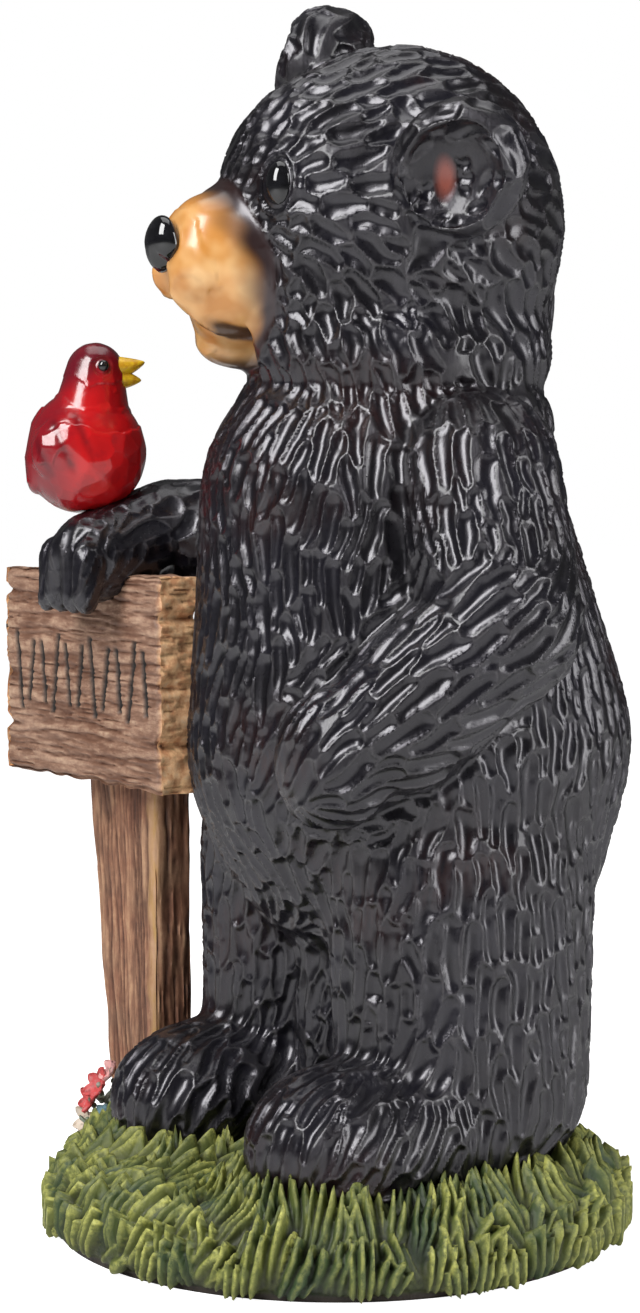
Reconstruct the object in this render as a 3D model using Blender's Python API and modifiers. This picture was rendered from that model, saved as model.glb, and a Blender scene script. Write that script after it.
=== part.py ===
"""Garden statue of a standing bear with a sign and a bird, in painted cast resin.

Metres, +Z up. The bear faces -Y and its left side is +X. The origin is the middle of the
base's flat underside.
"""

import math
import random

import bmesh
import bpy
import numpy as np
from mathutils import Euler, Matrix, Vector, kdtree

# Round grass base
BASE_DIAMETER = 0.241
BASE_HEIGHT = 0.030
BASE_RIM = 0.005
TUFT_HEIGHT = 0.007

# Bear, from its soles to the tip of its right ear
BEAR_HEIGHT = 0.465
FUR_DEPTH = 0.0028

# Sign board
BOARD_WIDTH = 0.127
BOARD_HEIGHT = 0.090
BOARD_THICKNESS = 0.020
BOARD_TOP = 0.2615
BOARD_FRONT = 0.056
NOTCH_DEPTH = 0.0022
GRAIN_DEPTH = 0.0009
STROKE_DEPTH = 0.0014
STROKE_WIDTH = 0.0028

# Post, with one upright side and one side that tapers towards the ground
POST_TOP_WIDTH = 0.066
POST_FOOT_WIDTH = 0.037
POST_DEPTH = 0.0195
POST_SINK = 0.004

# Right paw on the board: its place along the board, how far it stands out and how high it rides
PAW_FROM_MIDDLE = 0.020
PAW_OVERHANG = 0.004
PAW_LIFT = 0.006

# Bird, from the underside of its belly to its crown, and the flowers over the grass
BIRD_HEIGHT = 0.067
BIRD_SIDE = 0.0075
BIRD_BACK = 0.001
BIRD_LIFT = 0.018
FLOWER_HEIGHT = 0.034

# Space left between two pieces that touch
GAP = 0.0003

# The bear's proportions are written for a figure 465 units high
UNIT = BEAR_HEIGHT / 465
BIRD_UNIT = BIRD_HEIGHT / 67
FLOWER_UNIT = FLOWER_HEIGHT / 34

# Heights of the standing surfaces
SOLE = BASE_HEIGHT + GAP
POST_INNER = 80 * UNIT
BOARD_MIDDLE = -(POST_INNER + 0.42 * POST_TOP_WIDTH)

# Triangle budgets of the carved pieces
BEAR_TRIANGLES = 5700
BIRD_TRIANGLES = 820
FLOWER_TRIANGLES = 420


def clear_scene():
    for item in list(bpy.data.objects):
        bpy.data.objects.remove(item, do_unlink=True)


def make_collection(name):
    group = bpy.data.collections.new(name)
    bpy.context.scene.collection.children.link(group)
    return group


def make_material(name, colour, roughness, metallic=0.0):
    material = bpy.data.materials.new(name)
    material.use_nodes = True
    shader = material.node_tree.nodes["Principled BSDF"]
    shader.inputs["Base Color"].default_value = (*colour, 1.0)
    shader.inputs["Roughness"].default_value = roughness
    shader.inputs["Metallic"].default_value = metallic
    return material


def object_from_bmesh(name, shape, group):
    mesh = bpy.data.meshes.new(name)
    shape.to_mesh(mesh)
    shape.free()
    item = bpy.data.objects.new(name, mesh)
    group.objects.link(item)
    return item


def evaluated_mesh(item):
    bpy.context.view_layer.update()
    graph = bpy.context.evaluated_depsgraph_get()
    return bpy.data.meshes.new_from_object(item.evaluated_get(graph))


def bake_modifiers(item):
    mesh = evaluated_mesh(item)
    item.modifiers.clear()
    item.data = mesh


def add_ellipsoid(shape, centre, radii, turn=(0, 0, 0)):
    place = Matrix.Translation(centre) @ Euler(turn).to_matrix().to_4x4() @ Matrix.Diagonal((*radii, 1.0))
    bmesh.ops.create_icosphere(shape, subdivisions=3, radius=1.0, matrix=place)


def add_limb(shape, start, startRadii, end, endRadii, steps=8):
    start, end = Vector(start), Vector(end)
    startRadii, endRadii = Vector(startRadii), Vector(endRadii)
    for step in range(steps + 1):
        share = step / steps
        add_ellipsoid(shape, start.lerp(end, share), startRadii.lerp(endRadii, share))


def fuse(item, voxel, rounds):
    remesh = item.modifiers.new("Fuse", "REMESH")
    remesh.mode = "VOXEL"
    remesh.voxel_size = voxel
    smooth = item.modifiers.new("Soften", "SMOOTH")
    smooth.factor = 0.5
    smooth.iterations = rounds
    bake_modifiers(item)


def reduce_to(item, triangles):
    count = sum(len(face.vertices) - 2 for face in item.data.polygons)
    decimate = item.modifiers.new("Reduce", "DECIMATE")
    decimate.ratio = min(1.0, triangles / count)
    decimate.use_collapse_triangulate = True
    bake_modifiers(item)


def shade_round(item, degrees=40):
    item.data.shade_smooth()
    item.data.set_sharp_from_angle(angle=math.radians(degrees))


# The bear's masses, in units, with the soles at height 0

HEAD_CENTRE = Vector((0, 30, 372))
HEAD_TILT = Matrix.Rotation(math.radians(24), 4, "Y")
HEAD_YAW = Matrix.Rotation(math.radians(-10), 4, "Z")
HEAD_PLACE = Matrix.Translation(HEAD_CENTRE) @ HEAD_YAW @ HEAD_TILT
EAR_RADII = (26, 20, 28)
CUP_RADII = (17, 16, 19)
LEFT_SHOULDER = Vector((68, 16, 270))
LEFT_ELBOW = Vector((89, 12, 216))
LEFT_WRIST = Vector((70, -22, 180))
LEFT_PAW = Vector((54, -42, 164))
RIGHT_SHOULDER = Vector((-60, 20, 240))
WRIST_FROM_PAW = Vector((4, 34, 12))
RIGHT_TOES = Vector((-46, -36, 15))
LEFT_TOES = Vector((51, -36, 15))


def head_mass(shape, centre, radii):
    place = Matrix.Translation(centre) @ Matrix.Diagonal((*radii, 1.0))
    bmesh.ops.create_icosphere(shape, subdivisions=3, radius=1.0, matrix=HEAD_PLACE @ place)


def ear_place(side):
    """An ear's own frame, with its hollow facing -Y."""
    return (HEAD_PLACE @ Matrix.Translation((side * 64, -13, 45))
            @ Matrix.Rotation(side * math.radians(46), 4, "Z")
            @ Matrix.Rotation(side * math.radians(36), 4, "Y"))


def add_ear(shape, side):
    place = ear_place(side) @ Matrix.Diagonal((*EAR_RADII, 1.0))
    bmesh.ops.create_icosphere(shape, subdivisions=3, radius=1.0, matrix=place)


def hollow_ears(item):
    """Pushes each ear's front back into a cup."""
    for side in (-1, 1):
        place = Matrix.Scale(UNIT, 4) @ ear_place(side)
        inverse = place.inverted()
        for vertex in item.data.vertices:
            local = inverse @ vertex.co
            edge = 1 - (local.x / CUP_RADII[0]) ** 2 - (local.z / CUP_RADII[2]) ** 2
            if edge > 0 and -30 < local.y < 8:
                local.y = max(local.y, CUP_RADII[1] * edge ** 0.5 - EAR_RADII[1] + 1)
                vertex.co = place @ local


def add_head(shape):
    head_mass(shape, (0, 0, 0), (73, 66, 71))
    head_mass(shape, (0, -24, 7), (56, 51, 55))
    head_mass(shape, (0, -22, -18), (60, 54, 50))
    head_mass(shape, (0, 4, -26), (71, 65, 50))
    head_mass(shape, (0, -67, -19), (31, 26, 34))
    head_mass(shape, (0, -80, -5.5), (19, 17, 15))
    head_mass(shape, (0, -83, -17), (23, 18, 22))
    head_mass(shape, (0, -70, -38), (24, 20, 16))
    head_mass(shape, (0, -64, -50), (18, 20, 12))
    head_mass(shape, (0, -98, -12), (12, 9, 11))
    for side in (-1, 1):
        head_mass(shape, (side * 23, -61, 22), (6.5, 7, 9.5))
        add_ear(shape, side)


def add_cheeks(shape):
    """The thick fur round the bottom of the head, which overhangs the shoulders."""
    steps = 20
    for step in range(steps):
        angle = math.tau * step / steps
        spot = Vector((45 * math.cos(angle), 42 * math.sin(angle), 0))
        spot = Euler((0, math.radians(11), 0)).to_matrix() @ spot
        add_ellipsoid(shape, spot + Vector((0, 27, 326)), (23, 23, 25))


def add_torso(shape):
    add_ellipsoid(shape, (0, 27, 290), (69, 64, 40))
    add_ellipsoid(shape, (0, 20, 262), (76, 70, 62))
    add_ellipsoid(shape, (0, 28, 215), (84, 79, 80))
    add_ellipsoid(shape, (0, 36, 163), (92, 91, 84))
    add_ellipsoid(shape, (0, 38, 130), (86, 78, 66))


def add_crotch(shape):
    """Closes the gap between the legs, which meet in a deep crease."""
    add_limb(shape, (0, 32, 12), (26, 48, 24), (0, 32, 104), (28, 50, 44))


def add_leg(shape, side, toes):
    add_limb(shape, (side * 44, 29, 120), (46, 59, 46), (side * 47, 28, 30), (43, 55, 44))
    add_limb(shape, (side * 48, 16, 18), (40, 42, 36), toes, (37, 38, 32), 5)


def add_left_arm(shape):
    add_limb(shape, LEFT_SHOULDER, (33, 34, 36), LEFT_ELBOW, (30, 32, 32))
    add_limb(shape, LEFT_ELBOW, (30, 32, 32), LEFT_WRIST, (27, 27, 29))
    add_ellipsoid(shape, LEFT_PAW, (27, 20, 29))


def add_right_arm(shape, paw):
    wrist = paw + WRIST_FROM_PAW
    add_limb(shape, RIGHT_SHOULDER, (30, 32, 30), wrist, (20, 22, 20))
    add_limb(shape, wrist, (20, 22, 20), paw, (20, 18, 19), 5)
    for finger in range(4):
        across = -13.5 + 9 * finger
        add_limb(shape, paw + Vector((across, -10, -1)), (5.8, 8, 10),
                 paw + Vector((across, -12, -14)), (5.2, 6, 9), 3)


def paw_place():
    """The middle of the right paw, in the bear's units, over the board's top edge."""
    spot = Vector((BOARD_MIDDLE + PAW_FROM_MIDDLE, -BOARD_FRONT - PAW_OVERHANG,
                   BOARD_TOP - SOLE + PAW_LIFT))
    return spot / UNIT


def limb_axes(paw):
    """Each limb's ends and reach, for the run of the fur."""
    return (
        (LEFT_SHOULDER, LEFT_ELBOW, 34),
        (LEFT_ELBOW, LEFT_PAW, 31),
        (RIGHT_SHOULDER, paw + WRIST_FROM_PAW, 28),
        (paw + WRIST_FROM_PAW, paw + Vector((0, -20, -16)), 24),
    )


def fur_direction(point, normal, axes):
    """The way the fur runs at a point, as a unit vector along the surface."""
    flow = Vector((0.25 * math.sin(point.z / 22 + point.x / 30), 0, -1))
    if point.z > 308:
        flow = point - HEAD_PLACE @ Vector((0, -95, -8))
    elif point.z < 62 and point.y < -8:
        flow = Vector((0, -1, -0.5))
    else:
        for start, end, reach in axes:
            axis = end - start
            share = max(0.0, min(1.0, (point - start).dot(axis) / axis.length_squared))
            if (point - start - axis * share).length < reach * 1.15:
                flow = axis
    flow = flow - normal * flow.dot(normal)
    return flow.normalized() if flow.length > 1e-6 else Vector((1, 0, 0))


def scatter_locks(points, directions, length, width, chance):
    """Picks the middles of the gouges, spaced by their length and width."""
    order = list(range(len(points)))
    chance.shuffle(order)
    chosen = []
    spots = np.empty((0, 3))
    for index in order:
        if len(chosen):
            away = spots - points[index]
            along = away @ directions[index]
            across = np.linalg.norm(away - np.outer(along, directions[index]), axis=1)
            if np.any((along / length) ** 2 + (across / width) ** 2 < 0.62):
                continue
        chosen.append(index)
        spots = np.vstack((spots, points[index]))
    return chosen


def carve_fur(item, paw, length, width, depth):
    """Scoops bean-shaped gouges along the run of the fur."""
    mesh = item.data
    axes = limb_axes(paw)
    points = np.array([vertex.co[:] for vertex in mesh.vertices])
    normals = np.array([vertex.normal[:] for vertex in mesh.vertices])
    directions = np.array([
        fur_direction(vertex.co / UNIT, vertex.normal, axes)[:] for vertex in mesh.vertices
    ])
    inverse = HEAD_PLACE.inverted()
    bare = np.array([is_bare(inverse @ (vertex.co / UNIT)) for vertex in mesh.vertices])
    candidates = np.nonzero(~bare)[0]
    chance = random.Random(11)
    chosen = candidates[scatter_locks(points[candidates], directions[candidates],
                                      length, width, chance)]
    tree = kdtree.KDTree(len(points))
    for index, point in enumerate(points):
        tree.insert(point, index)
    tree.balance()
    cut = np.zeros(len(points))
    for index in chosen:
        near = np.array([found[1] for found in tree.find_range(points[index], length * 0.56)])
        away = points[near] - points[index]
        side = np.cross(normals[index], directions[index])
        along = away @ directions[index] / (length * 0.5)
        across = away @ side / (width * 0.5) + 0.35 * along ** 2
        bowl = np.clip(1 - along ** 2 * 0.9 - across ** 2, 0, 1) ** 0.7
        facing = normals[near] @ normals[index] > 0.3
        cut[near] = np.maximum(cut[near], bowl * facing)
    cut[bare] = 0
    moved = points - normals * (cut * depth)[:, None]
    mesh.vertices.foreach_set("co", moved.ravel())
    mesh.update()


def is_bare(local):
    """True on the muzzle, nose and eyes, which have no fur. Takes a point in the head's own frame."""
    muzzle = local.y < -66 and abs(local.x) < 33 and local.z < 14
    eye = local.y < -56 and abs(abs(local.x) - 23) < 10 and abs(local.z - 22) < 13
    return muzzle or eye


def make_bear(group):
    shape = bmesh.new()
    paw = paw_place()
    add_head(shape)
    add_cheeks(shape)
    add_torso(shape)
    add_left_arm(shape)
    add_right_arm(shape, paw)
    add_crotch(shape)
    add_leg(shape, -1, RIGHT_TOES)
    add_leg(shape, 1, LEFT_TOES)
    bmesh.ops.scale(shape, vec=(UNIT, UNIT, UNIT), verts=shape.verts)
    item = object_from_bmesh("bear", shape, group)
    fuse(item, 2.8 * UNIT, 6)
    hollow_ears(item)
    carve_fur(item, paw, 48 * UNIT, 18 * UNIT, FUR_DEPTH)
    reduce_to(item, BEAR_TRIANGLES)
    flatten_below(item, 0.0)
    item.data.transform(Matrix.Translation((0, 0, SOLE)))
    shade_round(item, 60)
    item.data.materials.append(make_material("black fur", (0.016, 0.016, 0.018), 0.3))
    return item


def flatten_below(item, height):
    """Cuts a piece off flat at a height and closes the cut."""
    shape = bmesh.new()
    shape.from_mesh(item.data)
    everything = shape.verts[:] + shape.edges[:] + shape.faces[:]
    bmesh.ops.bisect_plane(shape, geom=everything, dist=1e-7, plane_co=(0, 0, height),
                           plane_no=(0, 0, 1), clear_inner=True)
    rim = [edge for edge in shape.edges if edge.is_boundary]
    bmesh.ops.edgeloop_fill(shape, edges=rim)
    bmesh.ops.triangulate(shape, faces=shape.faces[:])
    bmesh.ops.recalc_face_normals(shape, faces=shape.faces[:])
    shape.to_mesh(item.data)
    shape.free()


def fattened_copy(item, name, group, gap):
    """A cutter: the piece's own shape grown by the gap."""
    copy = bpy.data.objects.new(name, item.data.copy())
    group.objects.link(copy)
    grow = copy.modifiers.new("Grow", "DISPLACE")
    grow.strength = gap
    grow.mid_level = 0.0
    copy.hide_render = True
    copy.display_type = "WIRE"
    return copy


def cut_with(item, cutter):
    cut = item.modifiers.new("Clear " + cutter.name, "BOOLEAN")
    cut.operation = "DIFFERENCE"
    cut.solver = "EXACT"
    cut.object = cutter


def tuft(angle, radius):
    """Height of the grass clumps from 0 to 1, at a share of the base's radius."""
    wave = math.sin(angle * 17 + 1.3) * math.sin(radius * 31 + angle * 3 + 0.4)
    return 0.5 + 0.5 * wave


def make_base(group):
    radius = BASE_DIAMETER / 2
    rings = (
        (0.0, BASE_HEIGHT), (0.50, BASE_HEIGHT), (0.72, BASE_HEIGHT), (0.84, BASE_HEIGHT * 0.95),
        (0.93, BASE_HEIGHT * 0.80), (0.98, BASE_HEIGHT * 0.52), (1.0, BASE_HEIGHT * 0.28),
        (0.985, BASE_RIM), (0.985, 0.0),
    )
    shape = bmesh.new()
    profile = [shape.verts.new((share * radius, 0, height)) for share, height in rings]
    profile.append(shape.verts.new((0, 0, 0)))
    for lower, upper in zip(profile, profile[1:]):
        shape.edges.new((lower, upper))
    segments = 44
    bmesh.ops.spin(shape, geom=shape.verts[:] + shape.edges[:], cent=(0, 0, 0), axis=(0, 0, 1),
                   angle=math.tau, steps=segments, use_merge=True)
    bmesh.ops.remove_doubles(shape, verts=shape.verts, dist=0.00005)
    bmesh.ops.recalc_face_normals(shape, faces=shape.faces)
    for vert in shape.verts:
        flat = math.hypot(vert.co.x, vert.co.y)
        if vert.co.z <= BASE_RIM + 1e-5:
            continue
        angle = math.atan2(vert.co.y, vert.co.x)
        share = flat / radius
        strength = max(0.0, 1 - abs(share - 0.88) / 0.22)
        lump = tuft(angle, share)
        vert.co.z += TUFT_HEIGHT * strength * lump
        outward = 0.36 * TUFT_HEIGHT * max(0.0, 1 - abs(share - 0.97) / 0.06) * (lump - 0.9)
        vert.co.x += outward * math.cos(angle)
        vert.co.y += outward * math.sin(angle)
    bmesh.ops.triangulate(shape, faces=shape.faces[:])
    item = object_from_bmesh("grass_base", shape, group)
    shade_round(item, 50)
    item.data.materials.append(make_material("painted grass", (0.07, 0.12, 0.03), 0.6))
    return item


def make_board(group, cutters):
    """A rough plank: notched ends, grain along its length and a row of shallow strokes."""
    shape = bmesh.new()
    bmesh.ops.create_cube(shape, size=1.0)
    lengthwise = [edge for edge in shape.edges
                  if abs(edge.verts[0].co.x - edge.verts[1].co.x) > 0.5]
    upright = [edge for edge in shape.edges
               if abs(edge.verts[0].co.z - edge.verts[1].co.z) > 0.5]
    bmesh.ops.subdivide_edges(shape, edges=upright, cuts=8, use_grid_fill=True)
    lengthwise = [edge for edge in shape.edges
                  if abs(edge.verts[0].co.x - edge.verts[1].co.x) > 0.5]
    bmesh.ops.subdivide_edges(shape, edges=lengthwise, cuts=7, use_grid_fill=True)
    for vert in shape.verts:
        across, high = vert.co.x, vert.co.z
        face = 1 if vert.co.y > 0 else -1
        end = 1 if across > 0 else -1
        notch = math.cos(high * 19 + end) * 0.5 + math.cos(high * 41 + 2 * end) * 0.5
        grain = math.sin(high * 58 + 2.2 * math.sin(across * 5 + face))
        vert.co.x = across * BOARD_WIDTH
        vert.co.z = high * BOARD_HEIGHT
        vert.co.y = vert.co.y * BOARD_THICKNESS
        if abs(across) > 0.49:
            vert.co.x += end * NOTCH_DEPTH * (notch - 1)
        if abs(high) > 0.49:
            vert.co.z += math.copysign(NOTCH_DEPTH * 0.5, high) * (math.sin(across * 13 + high) - 1)
        inside = abs(across) < 0.49 and abs(high) < 0.49
        if inside:
            vert.co.y -= face * GRAIN_DEPTH * (0.5 + 0.5 * grain)
        elif abs(across) > 0.49 or abs(high) > 0.49:
            vert.co.y *= 0.93
    bmesh.ops.triangulate(shape, faces=shape.faces[:])
    item = object_from_bmesh("sign_board", shape, group)
    item.location = (BOARD_MIDDLE, -BOARD_FRONT + BOARD_THICKNESS / 2, BOARD_TOP - BOARD_HEIGHT / 2)
    item.data.materials.append(make_material("tan carved wood", (0.30, 0.17, 0.10), 0.6))
    cut_with(item, stroke_cutter(cutters))
    return item


def stroke_cutter(cutters):
    """The row of strokes where the sign's word is: bars that stand for no letters."""
    shape = bmesh.new()
    strokes = 11
    span = BOARD_WIDTH * 0.80
    for step in range(strokes):
        high = BOARD_HEIGHT * (0.30 if step % 3 else 0.38)
        lean = math.radians(9 if step % 2 else -7)
        spot = Matrix.Translation((span * (step / (strokes - 1) - 0.5), 0, 0))
        size = Matrix.Diagonal((STROKE_WIDTH, STROKE_DEPTH * 2 + GRAIN_DEPTH, high, 1.0))
        bmesh.ops.create_cube(shape, size=1.0, matrix=spot @ Matrix.Rotation(lean, 4, "Y") @ size)
    cutter = object_from_bmesh("strokes", shape, cutters)
    cutter.location = (BOARD_MIDDLE, -BOARD_FRONT, BOARD_TOP - BOARD_HEIGHT * 0.5)
    cutter.hide_render = True
    cutter.display_type = "WIRE"
    return cutter


def post_shape(grow):
    """The post as a tapered block with grooves down its sides, grown by the given amount."""
    foot = BASE_HEIGHT - POST_SINK
    top = BOARD_TOP - BOARD_HEIGHT * 0.12
    front = -BOARD_FRONT + BOARD_THICKNESS + GAP
    inner = -POST_INNER
    shape = bmesh.new()
    bmesh.ops.create_cube(shape, size=1.0)
    upright = [edge for edge in shape.edges if abs(edge.verts[0].co.z - edge.verts[1].co.z) > 0.5]
    bmesh.ops.subdivide_edges(shape, edges=upright, cuts=5, use_grid_fill=True)
    crosswise = [edge for edge in shape.edges if abs(edge.verts[0].co.x - edge.verts[1].co.x) > 0.5]
    bmesh.ops.subdivide_edges(shape, edges=crosswise, cuts=6, use_grid_fill=True)
    for vert in shape.verts:
        across, deep, high = vert.co.x, vert.co.y, vert.co.z + 0.5
        width = POST_FOOT_WIDTH + (POST_TOP_WIDTH - POST_FOOT_WIDTH) * high
        groove = 0.5 + 0.5 * math.cos(across * 6 * math.tau / 2 + math.sin(high * 5))
        inside = abs(across) < 0.49
        vert.co.x = inner - width * (0.5 - across) + math.copysign(grow, across)
        vert.co.y = front + POST_DEPTH * (deep + 0.5) + math.copysign(grow, deep)
        vert.co.z = foot + (top - foot) * high + (grow if high > 0.5 else -grow)
        if inside and grow == 0:
            vert.co.y -= math.copysign(GRAIN_DEPTH, deep) * groove
    bmesh.ops.triangulate(shape, faces=shape.faces[:])
    return shape


def make_post(group):
    item = object_from_bmesh("sign_post", post_shape(0), group)
    item.data.materials.append(make_material("brown carved wood", (0.24, 0.11, 0.06), 0.6))
    return item


def make_bird(group, paw):
    """A plump bird that looks towards the bear. Its own frame faces +X."""
    shape = bmesh.new()
    add_ellipsoid(shape, (0, 0, 26), (25, 21, 26), (0, math.radians(-18), 0))
    add_ellipsoid(shape, (-2, 0, 20), (22, 20, 20))
    add_limb(shape, (-15, 0, 22), (11, 13, 12), (-20, 0, 13), (5, 9, 6), 4)
    add_limb(shape, (2, 0, 40), (17, 16, 14), (4, 0, 57), (12.5, 12.5, 13.5), 4)
    for side in (-1, 1):
        add_ellipsoid(shape, (-1, side * 16, 29), (20, 8, 17), (0, math.radians(-24), 0))
        add_ellipsoid(shape, (8, side * 10.8, 61), (2.2, 2.0, 2.2))
    add_limb(shape, (13, 0, 60), (4.5, 4.6, 3.8), (23, 0, 64), (1.7, 1.7, 1.5), 6)
    add_limb(shape, (13, 0, 56), (4.0, 4.0, 3.2), (21, 0, 56), (1.6, 1.6, 1.4), 6)
    bmesh.ops.scale(shape, vec=(BIRD_UNIT,) * 3, verts=shape.verts)
    item = object_from_bmesh("red_bird", shape, group)
    fuse(item, 1.1 * BIRD_UNIT, 3)
    reduce_to(item, BIRD_TRIANGLES)
    perch = paw * UNIT + Vector((-BIRD_SIDE, BIRD_BACK, SOLE + BIRD_LIFT))
    item.data.transform(Matrix.Translation(perch) @ Matrix.Rotation(math.radians(52), 4, "Z"))
    shade_round(item, 50)
    item.data.materials.append(make_material("glossy red", (0.42, 0.012, 0.018), 0.2))
    return item


def make_flowers(group):
    """Petals, leaves and stems as one small clump at the foot of the post."""
    shape = bmesh.new()
    add_ellipsoid(shape, (0, 0, 3), (13, 9, 7))
    blooms = ((4, 1, 25, 6.5), (-3, -2, 17, 7.5), (-8, -3, 6, 7.0), (5, -3, 12, 6.0))
    for bloomX, bloomY, bloomZ, size in blooms:
        add_limb(shape, (bloomX * 0.6, 0, 2), (3, 3, 3), (bloomX, bloomY, bloomZ), (2.2, 2.2, 2.2), 5)
        for petal in range(5):
            angle = math.tau * petal / 5 + bloomZ
            spot = (bloomX + 0.6 * size * math.cos(angle), bloomY - 1.5,
                    bloomZ + 0.6 * size * math.sin(angle))
            add_ellipsoid(shape, spot, (size * 0.5, 1.9, size * 0.42), (0, -angle, 0))
    bmesh.ops.scale(shape, vec=(FLOWER_UNIT,) * 3, verts=shape.verts)
    item = object_from_bmesh("flowers", shape, group)
    fuse(item, 1.1 * FLOWER_UNIT, 2)
    reduce_to(item, FLOWER_TRIANGLES)
    spot = (-(POST_INNER + 0.64 * POST_FOOT_WIDTH), -BOARD_FRONT + 0.45 * BOARD_THICKNESS,
            0.73 * BASE_HEIGHT)
    item.data.transform(Matrix.Translation(spot))
    item.data.materials.append(make_material("pink and white petals", (0.6, 0.3, 0.3), 0.5))
    return item


def main():
    clear_scene()
    group = make_collection("bear_statue")
    cutters = make_collection("cutters")
    paw = paw_place()
    bear = make_bear(group)
    bear_space = fattened_copy(bear, "bear_space", cutters, GAP)
    base = make_base(group)
    board = make_board(group, cutters)
    post = make_post(group)
    bird = make_bird(group, paw)
    flowers = make_flowers(group)
    for item in (base, board, post, bird):
        cut_with(item, bear_space)
    post_space = object_from_bmesh("post_space", post_shape(GAP), cutters)
    post_space.hide_render = True
    post_space.display_type = "WIRE"
    cut_with(base, post_space)
    cut_with(flowers, post_space)
    flower_space = fattened_copy(flowers, "flower_space", cutters, GAP)
    cut_with(base, flower_space)


main()
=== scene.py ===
import math
import random

import bmesh
import bpy
import numpy as np
from mathutils import Euler, Matrix, Vector, kdtree
from mathutils.bvhtree import BVHTree


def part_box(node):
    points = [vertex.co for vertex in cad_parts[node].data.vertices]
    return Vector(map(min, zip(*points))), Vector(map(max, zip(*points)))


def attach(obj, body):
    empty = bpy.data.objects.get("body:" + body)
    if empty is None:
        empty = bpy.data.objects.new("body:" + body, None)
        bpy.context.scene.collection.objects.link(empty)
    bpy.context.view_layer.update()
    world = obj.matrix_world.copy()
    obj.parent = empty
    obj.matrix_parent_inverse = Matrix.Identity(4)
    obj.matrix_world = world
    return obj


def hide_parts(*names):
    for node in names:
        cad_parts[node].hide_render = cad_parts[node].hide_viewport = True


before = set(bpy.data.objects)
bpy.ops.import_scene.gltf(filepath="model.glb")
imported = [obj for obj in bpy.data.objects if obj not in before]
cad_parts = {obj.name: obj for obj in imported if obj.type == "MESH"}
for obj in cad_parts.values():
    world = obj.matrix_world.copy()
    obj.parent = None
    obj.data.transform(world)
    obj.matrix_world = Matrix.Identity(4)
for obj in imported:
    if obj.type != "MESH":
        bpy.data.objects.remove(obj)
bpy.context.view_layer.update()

# Garden bear in painted resin: bear, grass base, sign on its post, red bird and flowers.
# The shapes are worked out in millimetres and scaled down at the end.

mm = 0.001
baseHeight = 30.0
sole = baseHeight + 0.3
coarse = 1.0


# Helpers shared by the pieces

def smoothStep(low, high, value):
    share = np.clip((value - low) / (high - low), 0, 1)
    return share * share * (3 - 2 * share)


def addBall(shape, centre, radii, turn=(0, 0, 0), place=Matrix.Identity(4), detail=4):
    spot = Matrix.Translation(centre) @ Euler(turn).to_matrix().to_4x4() @ Matrix.Diagonal((*radii, 1))
    bmesh.ops.create_icosphere(shape, subdivisions=detail, radius=1, matrix=place @ spot)


def addLimb(shape, start, startRadii, end, endRadii, steps=8, detail=4):
    for step in range(steps + 1):
        share = step / steps
        radii = Vector(startRadii).lerp(Vector(endRadii), share)
        addBall(shape, Vector(start).lerp(Vector(end), share), radii, detail=detail)


def makeObject(name, shape):
    mesh = bpy.data.meshes.new(name)
    shape.to_mesh(mesh)
    shape.free()
    item = bpy.data.objects.new(name, mesh)
    bpy.context.scene.collection.objects.link(item)
    return item


def bakeModifiers(item):
    bpy.context.view_layer.update()
    graph = bpy.context.evaluated_depsgraph_get()
    mesh = bpy.data.meshes.new_from_object(item.evaluated_get(graph))
    item.modifiers.clear()
    item.data = mesh


def fuse(item, voxel, rounds):
    remesh = item.modifiers.new("fuse", "REMESH")
    remesh.mode = "VOXEL"
    remesh.voxel_size = voxel
    soften = item.modifiers.new("soften", "SMOOTH")
    soften.factor = 0.5
    soften.iterations = rounds
    bakeModifiers(item)


def softenWhere(item, chosen, rounds):
    group = item.vertex_groups.new(name="soft")
    group.add(np.nonzero(chosen)[0].tolist(), 1.0, "REPLACE")
    soften = item.modifiers.new("soften", "SMOOTH")
    soften.factor = 0.5
    soften.iterations = rounds
    soften.vertex_group = group.name
    bakeModifiers(item)
    item.vertex_groups.clear()


def readPoints(mesh):
    flat = np.empty(len(mesh.vertices) * 3, np.float32)
    mesh.vertices.foreach_get("co", flat)
    return flat.reshape(-1, 3).astype(float)


def readNormals(mesh):
    flat = np.empty(len(mesh.vertices) * 3, np.float32)
    mesh.vertex_normals.foreach_get("vector", flat)
    return flat.reshape(-1, 3).astype(float)


def writePoints(mesh, points):
    mesh.vertices.foreach_set("co", points.astype(np.float32).ravel())
    mesh.update()


def writeMasks(mesh, masks):
    for name, values in masks.items():
        layer = mesh.attributes.get(name) or mesh.attributes.new(name, "FLOAT", "POINT")
        layer.data.foreach_set("value", np.asarray(values, np.float32))


def makeTree(points):
    tree = kdtree.KDTree(len(points))
    for index, point in enumerate(points):
        tree.insert(point, index)
    tree.balance()
    return tree


def nearby(tree, point, reach):
    return np.array([found[1] for found in tree.find_range(point, reach)])


def alongSurface(directions, normals):
    flat = directions - normals * np.sum(directions * normals, axis=1)[:, None]
    length = np.linalg.norm(flat, axis=1)[:, None]
    return np.where(length > 1e-6, flat / np.maximum(length, 1e-6), np.cross(normals, (0.3, 0.5, 0.8)))


def softNoise(points, size, seed):
    # smooth value from -1 to 1 that changes over about that many millimetres
    chance = np.random.default_rng(seed)
    total = np.zeros(len(points))
    for turn in range(9):
        wave = chance.normal(size=3)
        wave *= math.tau / (size * (0.7 + 0.6 * chance.random())) / np.linalg.norm(wave)
        total += np.sin(points @ wave + chance.random() * math.tau)
    return np.clip(total / 4.2, -1, 1)


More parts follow.
